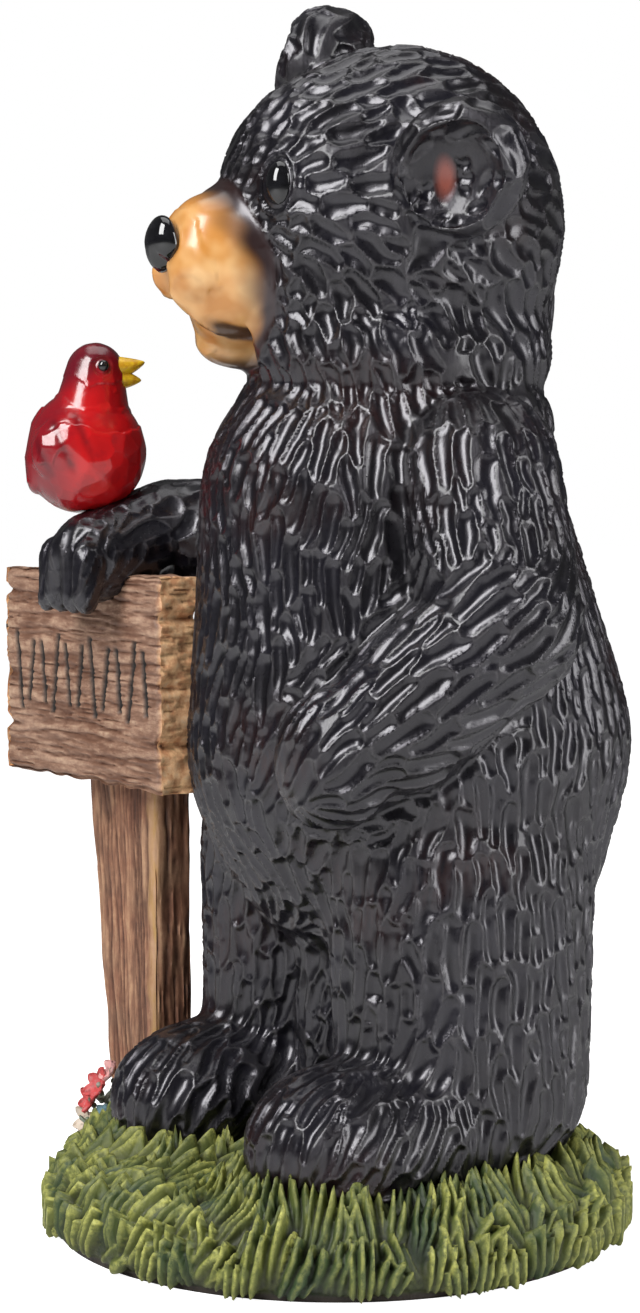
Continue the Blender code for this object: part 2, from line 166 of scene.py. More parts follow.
def chipFacets(points, normals, wanted, spacing, depth, seed):
    # flat chisel cuts: every point is pressed below the planes of the cuts round it
    chance = random.Random(seed)
    order = list(np.nonzero(wanted > 0.5)[0])
    chance.shuffle(order)
    tree = makeTree(points)
    covered = np.zeros(len(points), bool)
    push = np.zeros(len(points))
    for index in order:
        if covered[index]:
            continue
        near = nearby(tree, points[index], spacing * 1.9)
        away = points[near] - points[index]
        covered[near[np.sum(away * away, axis=1) < (spacing * chance.uniform(0.75, 1.2)) ** 2]] = True
        lean = Vector((chance.gauss(0, 0.05), chance.gauss(0, 0.05), chance.gauss(0, 0.05)))
        facing = Vector(normals[index]) + lean
        height = away @ np.array(facing.normalized()) + depth * chance.uniform(0.7, 1.3)
        same = normals[near] @ normals[index] > 0.35
        push[near] = np.maximum(push[near], np.where(same, height, 0))
    return np.clip(push, 0, depth * 2.2) * wanted


def finishPiece(item, nodes, material, lift=0.0, degrees=None):
    item.data.transform(Matrix.Translation((0, 0, lift * mm)) @ Matrix.Scale(mm, 4))
    item.data.shade_smooth()
    if degrees:
        item.data.set_sharp_from_angle(angle=math.radians(degrees))
    item.data.materials.clear()
    item.data.materials.append(material)
    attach(item, "root")
    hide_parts(*nodes)
    print(item.name, len(item.data.polygons), "faces")
    return item


# Node helpers for the materials

def newMaterial(name):
    material = bpy.data.materials.new(name)
    material.use_nodes = True
    return material, material.node_tree, material.node_tree.nodes["Principled BSDF"]


def setRelief(tree, shader, height, strength, distance):
    bump = addNode(tree, "ShaderNodeBump", {"Strength": strength, "Distance": distance, "Height": height})
    plug(tree, bump, shader.inputs["Normal"])


def setPaint(tree, shader, colour, roughness):
    plug(tree, colour, shader.inputs["Base Color"])
    plug(tree, roughness, shader.inputs["Roughness"])


def setCoat(shader, weight, roughness):
    shader.inputs["Coat Weight"].default_value = weight
    shader.inputs["Coat Roughness"].default_value = roughness


def addNode(tree, kind, inputs=None, **settings):
    node = tree.nodes.new(kind)
    for name, value in settings.items():
        setattr(node, name, value)
    for name, value in (inputs or {}).items():
        plug(tree, value, node.inputs[name])
    return node


def plug(tree, value, socket):
    if isinstance(value, bpy.types.NodeSocket):
        tree.links.new(value, socket)
    elif isinstance(value, bpy.types.Node):
        tree.links.new(value.outputs[0], socket)
    elif socket.type == "RGBA":
        socket.default_value = (*value[:3], 1)
    else:
        socket.default_value = value


def calc(tree, operation, first, second=0.5, clamp=False):
    node = addNode(tree, "ShaderNodeMath", {0: first, 1: second}, operation=operation)
    node.use_clamp = clamp
    return node.outputs[0]


def blendColour(tree, share, first, second, mode="MIX"):
    node = addNode(tree, "ShaderNodeMix", data_type="RGBA", blend_type=mode)
    node.clamp_factor = True
    plug(tree, share, node.inputs[0])
    plug(tree, first, node.inputs[6])
    plug(tree, second, node.inputs[7])
    return node.outputs[2]


def blendValue(tree, share, first, second):
    node = addNode(tree, "ShaderNodeMix", data_type="FLOAT")
    plug(tree, share, node.inputs[0])
    plug(tree, first, node.inputs[2])
    plug(tree, second, node.inputs[3])
    return node.outputs[0]


def mask(tree, name):
    return addNode(tree, "ShaderNodeAttribute", attribute_name=name).outputs["Fac"]


def remap(tree, value, low, high, outLow=0.0, outHigh=1.0):
    node = addNode(tree, "ShaderNodeMapRange", {0: value, 1: low, 2: high, 3: outLow, 4: outHigh})
    return node.outputs[0]


def speckle(tree, scale, detail=4.0, stretch=(1, 1, 1), rough=0.55):
    # noise in object space, scale in lumps per metre
    where = addNode(tree, "ShaderNodeTexCoord").outputs["Object"]
    placed = addNode(tree, "ShaderNodeMapping", {"Vector": where, "Scale": stretch})
    noise = addNode(tree, "ShaderNodeTexNoise",
                    {"Vector": placed, "Scale": scale, "Detail": detail, "Roughness": rough})
    return noise.outputs[0]


def brushGroup():
    # painted highlight and painted shade: a lighter colour on raised edges, a darker colour in hollows,
    # broken up by streaky noise
    tree = bpy.data.node_groups.new("painted highlight and shade", "ShaderNodeTree")
    sockets = (("INPUT", "Color", ("Paint", "Highlight", "Shade")),
               ("INPUT", "Float", ("Edge", "Hollow", "Grain")),
               ("OUTPUT", "Color", ("Colour",)), ("OUTPUT", "Float", ("Height",)))
    for way, kind, names in sockets:
        for name in names:
            tree.interface.new_socket(name, in_out=way, socket_type="NodeSocket" + kind)
    source = tree.nodes.new("NodeGroupInput").outputs
    result = tree.nodes.new("NodeGroupOutput").inputs
    where = addNode(tree, "ShaderNodeTexCoord").outputs["Object"]
    streaks = {"Scale": source["Grain"], "Detail": 6.0, "Roughness": 0.65, "Vector": where}
    streaks = addNode(tree, "ShaderNodeTexNoise", streaks).outputs[0]
    highlit = calc(tree, "MULTIPLY", source["Edge"], remap(tree, streaks, 0.35, 0.62), True)
    shadeShare = calc(tree, "MULTIPLY", source["Hollow"], remap(tree, streaks, 0.7, 0.3, 0.6, 1.0), True)
    shaded = blendColour(tree, shadeShare, source["Paint"], source["Shade"])
    plug(tree, blendColour(tree, highlit, shaded, source["Highlight"]), result["Colour"])
    plug(tree, calc(tree, "MULTIPLY", streaks, 0.5), result["Height"])
    return tree


paintedLightGroup = brushGroup()


# lays a painted highlight where edge is high and painted shade where hollow is high
def paintedLight(tree, paint, bright, shadeColour, edge, hollow, grain):
    inputs = {"Paint": paint, "Highlight": bright, "Shade": shadeColour, "Edge": edge, "Hollow": hollow, "Grain": grain}
    return addNode(tree, "ShaderNodeGroup", inputs, node_tree=paintedLightGroup)


# Bear: masses in millimetres, soles at 0, facing -Y

bearLook = {
    "voxel": 1.22,
    "softening": 5,
    "bodySoftening": 90,
    "neckSoftening": 18,
    "gougeDepth": 1.65,
    "scoopScales": (1.0, 0.6),                             # large scoops, then small ones in the gaps
    "scoopRoom": 0.84,                                     # how close they lie, as a share of their size
    "scoopSlant": 0.10,
    "scoopBend": 0.17,
    "scoopSwing": 0.13,
    "scoopTaper": 0.30,
    "lipRise": 0.22,
    "hatchDepth": 0.06,
    "armCrease": 2.4,
    "muzzleChips": 11.0,
    "muzzleChipDepth": 0.26,
    "partingDepth": 7.0,
    "jawSetBack": 5.6,
    "mouthCorner": 5.5,
    "lipLobe": 1.8,
    "gloss": 0.55,
    "glossRoughness": 0.19,
    "fur": (0.0030, 0.0026, 0.0040),
    "furSheen": (0.0062, 0.0058, 0.0098),
    # painted highlight on the ridges between the scoops
    "furHighlight": (0.046, 0.043, 0.046),
    "furRust": (0.016, 0.0040, 0.0036),
    "landGrey": (0.0090, 0.0080, 0.0096),
    "muzzle": (0.60, 0.255, 0.055),
    "muzzleLight": (0.80, 0.47, 0.19),
    "muzzleShade": (0.020, 0.008, 0.007),
    "earPatch": (0.33, 0.085, 0.055),
}

headPlace = (Matrix.Translation((0, 30, 372)) @ Matrix.Rotation(math.radians(-10), 4, "Z")
             @ Matrix.Rotation(math.radians(24), 4, "Y"))
earRadii = (26, 20, 28)
cupRadii = (20.5, 16, 22.5)
leftShoulder, leftElbow = Vector((68, 16, 270)), Vector((89, 12, 216))
leftWrist, leftPaw = Vector((70, -22, 180)), Vector((54, -42, 164))
rightShoulder, rightPaw = Vector((-60, 20, 240)), Vector((-87.7, -60, 237.2))
rightWrist = rightPaw + Vector((4, 34, 12))
handBack, handTip = rightPaw + Vector((0, -8, 4)), rightPaw + Vector((0, -12, -16))
sleeveStart = rightShoulder + Vector((-14, -22, 0))
toes = {-1: Vector((-46, -36, 15)), 1: Vector((51, -36, 15))}
eyeSpots = [Vector((-21.0, -62.5, 22.0)), Vector((22.3, -65.2, 21.8))]
eyeRadii = (6.0, 6.2, 9.1)
eyeLean = 26
earSpot = Vector((64, -13, 45))
earSplay, earTilt = 46, 36
earReach = 26                          # how far in front of and behind its middle an ear goes
neckHeight = 299
neckCut, hipCut = 305.5, 156.0         # heights where the bear is parted into three pieces


def earPlace(side):
    return (headPlace @ Matrix.Translation((side * earSpot.x, earSpot.y, earSpot.z))
            @ Matrix.Rotation(side * math.radians(earSplay), 4, "Z")
            @ Matrix.Rotation(side * math.radians(earTilt), 4, "Y"))


def localPoints(place, points):
    inverse = np.array(place.inverted())
    return points @ inverse[:3, :3].T + inverse[:3, 3]


def worldPoints(place, points):
    forward = np.array(place)
    return points @ forward[:3, :3].T + forward[:3, 3]


def ovalReach(local, wide, high):
    # 1 on the outline of an oval that faces along Y, less inside it
    return np.sqrt((local[:, 0] / wide) ** 2 + (local[:, 2] / high) ** 2)


def bearMasses():
    shape = bmesh.new()
    headBalls = (
        ((0, 0, 0), (73, 66, 71)), ((0, -24, 7), (56, 51, 55)), ((0, -22, -18), (60, 54, 50)),
        ((0, 4, -26), (71, 65, 50)), ((0, -67, -19), (31, 26, 34)), ((0, -83, -17), (23, 18, 22)),
        ((0, -80, -5.5), (19, 17, 15)),
        ((0, -70, -38), (24, 20, 16)), ((0, -64, -50), (18, 20, 12)),
    )
    for centre, radii in headBalls:
        addBall(shape, centre, radii, place=headPlace)
    for side in (-1, 1):
        addBall(shape, (0, 0, 0), earRadii, place=earPlace(side))
    collar, collarTilt = 20, Euler((0, math.radians(11), 0)).to_matrix()
    for step in range(collar):                              # thick fur that overhangs the shoulders
        angle = math.tau * step / collar
        ring = collarTilt @ Vector((45 * math.cos(angle), 42 * math.sin(angle), 0))
        addBall(shape, ring + Vector((0, 27, 326)), (23, 23, 25))
    trunk = (((0, 27, 290), (69, 64, 40)), ((0, 20, 262), (76, 70, 62)), ((0, 28, 215), (84, 79, 80)),
             ((0, 36, 163), (92, 91, 84)), ((0, 38, 130), (86, 78, 66)))
    for upper, lower in zip(trunk, trunk[1:]):
        addLimb(shape, *upper, *lower, 5)
    addLimb(shape, (0, 32, 12), (26, 48, 24), (0, 32, 104), (28, 50, 44))
    for side in (-1, 1):
        addLimb(shape, (side * 44, 29, 120), (46, 59, 46), (side * 47, 28, 30), (43, 55, 44))
        addLimb(shape, (side * 48, 16, 18), (40, 42, 36), toes[side], (37, 38, 32), 5)
    addLimb(shape, leftShoulder, (33, 34, 36), leftElbow, (30, 32, 32))
    addLimb(shape, leftElbow, (30, 32, 32), leftWrist, (27, 27, 29))
    addBall(shape, leftPaw, (27, 20, 29))
    addLimb(shape, rightShoulder, (30, 32, 30), rightWrist, (20, 22, 20))
    addLimb(shape, rightWrist, (20, 22, 20), rightPaw, (20, 18, 19), 5)
    for finger in range(4):
        across = -13.5 + 9 * finger
        addLimb(shape, rightPaw + Vector((across, -10, -1)), (5.8, 8, 10),
                rightPaw + Vector((across, -12, -14)), (5.2, 6, 9), 3)
    return shape


def hollowEars(points):
    for side in (-1, 1):
        local = localPoints(earPlace(side), points)
        edge = 1 - (local[:, 0] / cupRadii[0]) ** 2 - (local[:, 2] / cupRadii[2]) ** 2
        inside = (edge > 0) & (local[:, 1] > -30) & (local[:, 1] < 8)
        cup = cupRadii[1] * np.sqrt(np.clip(edge, 0, 1)) - earRadii[1] + 1
        local[:, 1] = np.where(inside, np.maximum(local[:, 1], cup), local[:, 1])
        points = np.where(inside[:, None], worldPoints(earPlace(side), local), points)
    return points


def raiseEarRims(points):
    # a rolled rim round each ear and a crease behind it, fading out at the cheek
    for side in (-1, 1):
        local = localPoints(earPlace(side), points)
        ring = ovalReach(local, earRadii[0], earRadii[2])
        near = smoothStep(26, 16, np.abs(local[:, 1])) * smoothStep(-0.9, -0.3, local[:, 2] / earRadii[2])
        rim = np.exp(-((ring - 0.94) / 0.11) ** 2) * 2.6 - np.exp(-((ring - 1.17) / 0.10) ** 2) * 3.4
        local[:, 1] -= rim * near * smoothStep(14, 2, local[:, 1])
        points = worldPoints(earPlace(side), local)
    return points


def awayFromLine(points, start, end):
    axis = np.array(end - start)
    share = np.clip((points - np.array(start)) @ axis / (axis @ axis), 0, 1)
    return np.linalg.norm(points - np.array(start) - share[:, None] * axis, axis=1)


def furFlow(points, normals):
    # the way the fur runs, from the muzzle back, down the body, along the arms and over the toes
    height = points[:, 2]
    sway = 0.26 * np.sin(height / 17 + points[:, 0] / 17) * smoothStep(60, 110, height)
    flow = np.stack([sway, 0 * height, -np.ones(len(points))], axis=1)
    armRuns = ((leftShoulder, leftElbow, 39), (leftElbow, leftPaw, 36), (rightShoulder, rightWrist, 30),
               (rightWrist, rightPaw + Vector((0, -20, -16)), 28))
    for start, end, reach in armRuns:
        axis = np.array(end - start)
        away = awayFromLine(points, start, end)
        flow = np.where((away < reach)[:, None], axis / np.linalg.norm(axis), flow)
    hand = awayFromLine(points, handBack, handTip) < 25
    flow = np.where(hand[:, None], np.array((0.0, -0.35, -1.0)), flow)
    foot = (height < 66) & (points[:, 1] < -6)
    flow = np.where(foot[:, None], np.array((0.0, -0.6, -1.0)), flow)
    back = points - np.array(headPlace @ Vector((0, -95, -8)))
    back /= np.linalg.norm(back, axis=1)[:, None]
    local = localPoints(headPlace, points)
    back[:, 2] -= smoothStep(34, -22, local[:, 2]) * 1.5 * smoothStep(-80, -50, local[:, 1])
    back /= np.linalg.norm(back, axis=1)[:, None]
    for side in (-1, 1):                                     # round the rim of each ear
        ear = localPoints(earPlace(side), points)
        ring = ovalReach(ear, earRadii[0], earRadii[2])
        onRim = (ring > 0.74) & (ring < 1.06) & (np.abs(ear[:, 1]) < 22) & (ear[:, 2] > -18)
        turning = np.stack([ear[:, 2], 0 * ring, -ear[:, 0]], axis=1) @ np.array(earPlace(side))[:3, :3].T
        turning /= np.maximum(np.linalg.norm(turning, axis=1), 1e-6)[:, None]
        back = np.where(onRim[:, None], turning, back)
    flow[:, 1] -= 1.2 * smoothStep(-0.15, -0.6, normals[:, 2])    # forward where the surface faces down
    head = smoothStep(302, 308, height)[:, None]
    flow = flow / np.linalg.norm(flow, axis=1)[:, None] * (1 - head) + back * head
    return alongSurface(flow, normals)


def gougeSizes(points, cup):
    # length and width of the scoops: broad on the head, chips on the right arm and in the ears, slim on the
    # right hand
    steps = (0, 60, 110, 200, 290, 304, 312)
    length = np.interp(points[:, 2], steps, (29, 27, 26, 27, 26, 22, 21))
    width = np.interp(points[:, 2], steps, (7.4, 7.6, 7.6, 7.4, 7.4, 7.8, 8.8))
    face = np.linalg.norm(points - np.array(headPlace @ Vector((0, -70, -15))), axis=1)
    near = np.where(points[:, 2] > 305, np.interp(face, (36, 84), (0.76, 1.06)), 1.0)
    length, width = length * near, width * (0.5 + 0.5 * near)
    chosen = ((awayFromLine(points, sleeveStart, rightWrist) < 30, 14, 7.0),
              (awayFromLine(points, handBack, handTip) < 27, 24, 4.6), (cup > 0.1, 9.0, 7.0))
    for where, long, wide in chosen:
        length, width = np.where(where, long, length), np.where(where, wide, width)
    return length, width


def carveGouges(points, normals, flow, furry, lengths, widths, seed):
    # bent capsule scoops packed along the flow. Gives each point's distance to its scoop's edge (negative
    # inside), that scoop's width and the place along it
    look = bearLook
    outside = 6.0
    chance = random.Random(seed)
    order = list(np.nonzero(furry > 0.5)[0])
    chance.shuffle(order)
    tree = makeTree(points)
    first, second = np.full(len(points), outside), np.full(len(points), outside)
    size, place = np.full(len(points), 3.0), np.zeros(len(points))
    scales = look["scoopScales"]
    slim = [0.4 + 0.6 * scale for scale in scales]
    taken = [np.zeros(len(points), bool) for scale in scales]
    for turn, scale in enumerate(scales):
        for index in order:
            if taken[turn][index]:
                continue
            length = lengths[index] * scale * chance.uniform(0.82, 1.18)
            width = widths[index] * slim[turn] * chance.uniform(0.88, 1.12)
            near = nearby(tree, points[index], length * 0.95)
            away = points[near] - points[index]
            side = np.cross(normals[index], flow[index])
            along, across = away @ flow[index], away @ side
            for later in range(turn, len(scales)):
                room = look["scoopRoom"] * (1 + scales[later] / scale) / 2
                wide = look["scoopRoom"] * (1 + slim[later] / slim[turn]) / 2
                taken[later][near[(along / (length * room)) ** 2 + (across / (width * wide)) ** 2 < 1]] = True
            share = along / (length / 2)
            slant = math.tan(chance.gauss(0, look["scoopSlant"])) * length / 2
            bend = chance.choice((-1, 1)) * chance.uniform(0.0, look["scoopBend"]) * width
            swing = chance.uniform(-look["scoopSwing"], look["scoopSwing"]) * width
            bent = across - slant * share - bend * (1 - 2 * share ** 2) - swing * np.sin(share * 3.1)
            over = np.maximum(np.abs(along) - (length - width) / 2, 0)
            edge = np.sqrt(bent ** 2 + over ** 2) - width / 2 * (1 - look["scoopTaper"] * share)
            edge = np.where(normals[near] @ normals[index] > 0.25, edge, outside)
            won = edge < first[near]
            second[near] = np.where(won, first[near], np.minimum(second[near], edge))
            first[near] = np.where(won, edge, first[near])
            size[near] = np.where(won, width, size[near])
            place[near] = np.where(won, np.clip(share, -1, 1), place[near])
    edge = np.maximum(first, (first - second) / 2)             # a ridge stays where two scoops meet
    return edge * furry + 3.0 * (1 - furry), size, place


def lipHeight(across):
    # height of the mouth line in the head's own frame, by distance from its middle
    return np.interp(np.abs(across), (0, 9, 14, 18, 21, 24, 30), (-36.5, -37.5, -40, -42.6, -41, -36.7, -30))


def eyeFrame(spot):
    lean = -eyeLean if spot.x > 0 else eyeLean
    return Matrix.Translation(spot) @ Matrix.Rotation(math.radians(lean), 4, "Y")


def shapeFace(points):
    # parted upper lip, mouth line with a hollow corner, and a thin ring round each eye
    look = bearLook
    local = localPoints(headPlace, points)
    across, deep, high = local[:, 0], local[:, 1], local[:, 2]
    front = smoothStep(-58, -64, deep)
    parting = np.exp(-(across / 4.2) ** 2) * smoothStep(-18, -24, high) * smoothStep(-45, -40, high) * front
    mouth = lipHeight(across)
    lower = smoothStep(0.8, -0.8, high - mouth) * smoothStep(26.5, 23, np.abs(across)) * front
    lower *= smoothStep(-66, -48, high)
    corner = np.exp(-((np.abs(across) - 21.5) / 3.4) ** 2 - ((high + 39.0) / 2.9) ** 2) * front
    lobe = np.exp(-((high - mouth - 5) / 5.0) ** 2) * smoothStep(24, 15, np.abs(across)) * front
    lobe += 1.3 * np.exp(-((across + 9) / 4.5) ** 2) * smoothStep(-20, -27, high) * front
    back = parting * look["partingDepth"] * (1 - lower) + lower * look["jawSetBack"]
    back += corner * look["mouthCorner"]
    local[:, 1] += back - lobe * (1 - lower) * look["lipLobe"]
    rings = np.zeros(len(points))
    for spot in eyeSpots:
        turned = localPoints(eyeFrame(spot), local)
        distance = ovalReach(turned, eyeRadii[0], eyeRadii[2])
        nearEye = turned[:, 1] < 12
        groove = np.exp(-((distance - 1.10) / 0.09) ** 2) * nearEye
        rings = np.maximum(rings, groove)
        local[:, 1] += groove * 1.4 - np.exp(-((distance - 1.30) / 0.09) ** 2) * 0.5 * nearEye
    # painted shade: darker along the mouth line, in the mouth corner, down the parting and on the set-back
    # lower jaw
    line = np.exp(-((high - mouth) / 1.2) ** 2) * smoothStep(25, 22, np.abs(across)) * front
    shade = corner * 2.2 + np.exp(-(across / 2.2) ** 2) * parting * (1 - lower) + lower * 0.3
    shade = np.clip(shade + line, 0, 0.92)
    return worldPoints(headPlace, local), shade, rings


def bearMasks(points):
    # tan muzzle with its sprayed edge, eyes, reddish patch in the ears and their hollows
    local = localPoints(headPlace, points)
    across, deep, high = local[:, 0], local[:, 1], local[:, 2]
    oval = np.sqrt((across / 32.5) ** 2 + ((high + 25.0) / 36.0) ** 2)
    muzzle = smoothStep(1.12, 1.06, oval) * (deep < -46)
    muzzleDarkening = smoothStep(0.79, 1.02, oval + 0.03 * softNoise(points, 16, 5))
    eyes = np.zeros(len(points))
    for spot in eyeSpots:
        turned = localPoints(eyeFrame(spot), local)
        distance = ovalReach(turned, eyeRadii[0], eyeRadii[2])
        eyes = np.maximum(eyes, smoothStep(1.42, 1.30, distance) * (turned[:, 1] < 18))
    patch, cup = np.zeros(len(points)), np.zeros(len(points))
    for side in (-1, 1):
        ear = localPoints(earPlace(side), points)
        onEar = np.abs(ear[:, 1]) < earReach
        cup = np.maximum(cup, smoothStep(1.0, 0.8, ovalReach(ear, 19, 21)) * onEar)
        sideways, upward = side * ear[:, 0] + 0.9, ear[:, 2] + 6.0
        long = 0.745 * sideways - 0.667 * upward
        short = 0.63 * sideways + 0.775 * upward
        spot = (long / 8.5) ** 2 + (short / 4.2) ** 2
        patch = np.maximum(patch, np.exp(-spot) * onEar)
    return muzzle, muzzleDarkening, eyes, patch, cup


def splitBear(item, low, high):
    # one closed part of the bear between two heights
    shape = bmesh.new()
    shape.from_mesh(item.data)
    for height, upward in ((low, True), (high, False)):
        if height is None:
            continue
        everything = shape.verts[:] + shape.edges[:] + shape.faces[:]
        bmesh.ops.bisect_plane(shape, geom=everything, dist=1e-6, plane_co=(0, 0, height),
                               plane_no=(0, 0, 1), clear_inner=upward, clear_outer=not upward)
        rim = [edge for edge in shape.edges if edge.is_boundary]
        bmesh.ops.edgeloop_fill(shape, edges=rim)
    return shape


def withinSolid(points):
    # the tips and the back keep within the solid's own box
    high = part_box("bear")[1]
    reach = 8.0
    for axis in (1, 2):
        top = high[axis] / mm - (sole if axis == 2 else 0) - 0.1
        over = np.maximum(points[:, axis] - (top - reach), 0)
        span = max(over.max(), reach)
        points[:, axis] = np.where(over > 0, top - reach + over * reach / span, points[:, axis])
    return points


def makeBear():
    look = bearLook
    whole = makeObject("bear_masses", bearMasses())
    fuse(whole, look["voxel"] * coarse, look["softening"])
    points = readPoints(whole.data)
    hand = awayFromLine(points, rightWrist, handTip) < 34
    ears = np.zeros(len(points), bool)
    for side in (-1, 1):
        ears |= np.linalg.norm(localPoints(earPlace(side), points), axis=1) < 34
    neck = np.abs(points[:, 2] - neckHeight) < 8
    softenWhere(whole, ~hand & ~ears & ~neck, round(look["bodySoftening"] / coarse ** 2))
    neck = np.abs(readPoints(whole.data)[:, 2] - neckHeight) < 14
    softenWhere(whole, neck, round(look["neckSoftening"] / coarse ** 2))
    points = raiseEarRims(hollowEars(readPoints(whole.data)))
    writePoints(whole.data, points)
    print("bear fused", len(points), "points")
    normals = readNormals(whole.data)
    muzzle, muzzleDarkening, eyes, patch, cup = bearMasks(points)
    furry = (1 - muzzle) * (1 - eyes) * smoothStep(-2, 2, points[:, 2] - 1) * smoothStep(0.55, 0.25, patch)
    flow = furFlow(points, normals)
    lengths, widths = gougeSizes(points, cup)
    edge, size, place = carveGouges(points, normals, flow, furry, lengths, widths, 11)
    inside = np.clip(-edge / (size / 2), 0, 1)
    depth = look["gougeDepth"] * (size / 6.2) ** 0.7 * (1 - (1 - inside) ** 2) ** 0.9 * (1 - 0.22 * place)
    sleeve = awayFromLine(points, sleeveStart, rightWrist)
    sleeve = np.minimum(sleeve, awayFromLine(points, rightWrist, handTip))
    depth *= 1 - 0.65 * smoothStep(34, 26, sleeve)           # shallower on the right arm and hand
    lip = np.exp(-((edge - 0.25) / 0.55) ** 2) * furry
    chips = chipFacets(points, normals, muzzle * (1 - eyes), look["muzzleChips"],
                       look["muzzleChipDepth"], 4)
    hatch = softNoise(points * (1, 1, 0.35), 1.9, 8) * (inside == 0) * look["hatchDepth"] * furry
    armAway = np.minimum(awayFromLine(points, leftShoulder, leftElbow) - 32,
                         np.minimum(awayFromLine(points, leftElbow, leftWrist) - 29,
                                    awayFromLine(points, leftWrist, leftPaw) - 26))
    crease = np.exp(-((armAway - 2.6) / 1.5) ** 2) * (points[:, 1] < 20)
    inward = depth * (1 - 0.5 * crease) - lip * look["lipRise"] + chips + hatch + crease * look["armCrease"]
    moved = points - normals * inward[:, None]
    moved, shade, rings = shapeFace(moved)
    moved = withinSolid(moved)
    writePoints(whole.data, moved)
    softenWhere(whole, furry > 0.5, 1)
    # the muzzle darkening holds the sprayed edge of the muzzle and the painted shade round the mouth
    writeMasks(whole.data, {"edge": edge, "deep": inside, "furry": furry, "muzzle": muzzle, "crease": crease,
                            "muzzleDarkening": np.maximum(muzzleDarkening, shade), "eyeRing": rings, "earPatch": patch})
    outward = whole.data.attributes.new("outward", "FLOAT_VECTOR", "POINT")
    outward.data.foreach_set("vector", readNormals(whole.data).astype(np.float32).ravel())
    material = furMaterial()
    cuts = (("bear_head", neckCut, None), ("bear_body", hipCut, neckCut), ("bear_legs", 0.0, hipCut))
    for name, low, high in cuts:
        part = makeObject(name, splitBear(whole, low, high))
        finishPiece(part, ["bear"], material, sole)
        mesh = part.data                                     # the whole bear's normals leave no seam
        flat = np.empty(len(mesh.vertices) * 3, np.float32)
        mesh.attributes["outward"].data.foreach_get("vector", flat)
        mesh.normals_split_custom_set_from_vertices(flat.reshape(-1, 3))
        mesh.attributes.remove(mesh.attributes["outward"])
    bpy.data.objects.remove(whole)


def furMaterial():
    look = bearLook
    material, tree, shader = newMaterial("carved black fur")
    broad = speckle(tree, 28, 3)
    fine = speckle(tree, 900, 5)
    hatch = speckle(tree, 420, 6, (1, 1, 0.22), 0.7)
    edge, deep, furry = mask(tree, "edge"), mask(tree, "deep"), mask(tree, "furry")
    land = calc(tree, "MULTIPLY", remap(tree, edge, -0.1, 0.5), furry)
    ridge = calc(tree, "SUBTRACT", 1.0, calc(tree, "ABSOLUTE", calc(tree, "MULTIPLY", edge, 1.9)), True)
    ridge = calc(tree, "MULTIPLY", ridge, furry)
    paint = blendColour(tree, remap(tree, broad, 0.40, 0.62), look["fur"], look["furSheen"])
    rust = remap(tree, speckle(tree, 17, 2), 0.52, 0.66)
    rust = calc(tree, "MULTIPLY", rust, remap(tree, hatch, 0.35, 0.6), True)
    paint = blendColour(tree, rust, paint, look["furRust"])
    greyed = calc(tree, "MULTIPLY", land, remap(tree, hatch, 0.42, 0.60, 0.1, 1.0), True)
    paint = blendColour(tree, greyed, paint, look["landGrey"])
    # painted shade: near-black in the deep middles of the scoops and in the arm crease; painted highlight:
    # lighter grey on the scoop ridges
    hollow = calc(tree, "MAXIMUM", remap(tree, deep, 0.55, 1.0, 0.0, 0.5), mask(tree, "crease"))
    layered = paintedLight(tree, paint, look["furHighlight"], (0.002, 0.002, 0.003), ridge, hollow, 260.0)
    muzzleMask = mask(tree, "muzzle")
    warm = remap(tree, speckle(tree, 62, 2), 0.40, 0.66)
    warm = blendColour(tree, warm, look["muzzle"], look["muzzleLight"])
    # darker towards the sprayed edge of the muzzle, and painted shade along the mouth, its corner and the
    # parting
    warm = blendColour(tree, calc(tree, "POWER", mask(tree, "muzzleDarkening"), 1.25), warm, look["muzzleShade"])
    colour = blendColour(tree, muzzleMask, layered.outputs["Colour"], warm)
    reddish = remap(tree, mask(tree, "earPatch"), 0.25, 0.85, 0.0, 0.8)
    colour = blendColour(tree, reddish, colour, look["earPatch"])
    colour = blendColour(tree, mask(tree, "eyeRing"), colour, (0.003, 0.003, 0.004))
    matt = calc(tree, "ADD", remap(tree, land, 0, 1, 0.29, 0.42), remap(tree, fine, 0.3, 0.7, -0.03, 0.07))
    setPaint(tree, shader, colour, blendValue(tree, muzzleMask, matt, 0.33))
    relief = calc(tree, "MULTIPLY", hatch, remap(tree, land, 0, 1, 0.28, 1.3))
    relief = calc(tree, "ADD", relief, calc(tree, "MULTIPLY", fine, 0.12))
    wall = calc(tree, "MULTIPLY", remap(tree, edge, -0.7, 0.0, 0.0, 0.6), furry)
    relief = calc(tree, "ADD", relief, wall)
    relief = calc(tree, "MULTIPLY", relief, remap(tree, muzzleMask, 0, 1, 1.0, 0.15))
    setRelief(tree, shader, relief, 0.6, 0.0006)
    shader.inputs["Specular Tint"].default_value = (0.95, 0.91, 1.0, 1)
    setCoat(shader, look["gloss"], look["glossRoughness"])
    return material


def glossMaterial(name, colour, tint):
    material, tree, shader = newMaterial(name)
    cloud = speckle(tree, 260, 3)
    paint = blendColour(tree, remap(tree, cloud, 0.35, 0.7), colour, tint)
    setPaint(tree, shader, paint, remap(tree, speckle(tree, 700, 4), 0.3, 0.7, 0.03, 0.09))
    setRelief(tree, shader, cloud, 0.12, 0.0004)
    setCoat(shader, 0.6, 0.03)
    return material


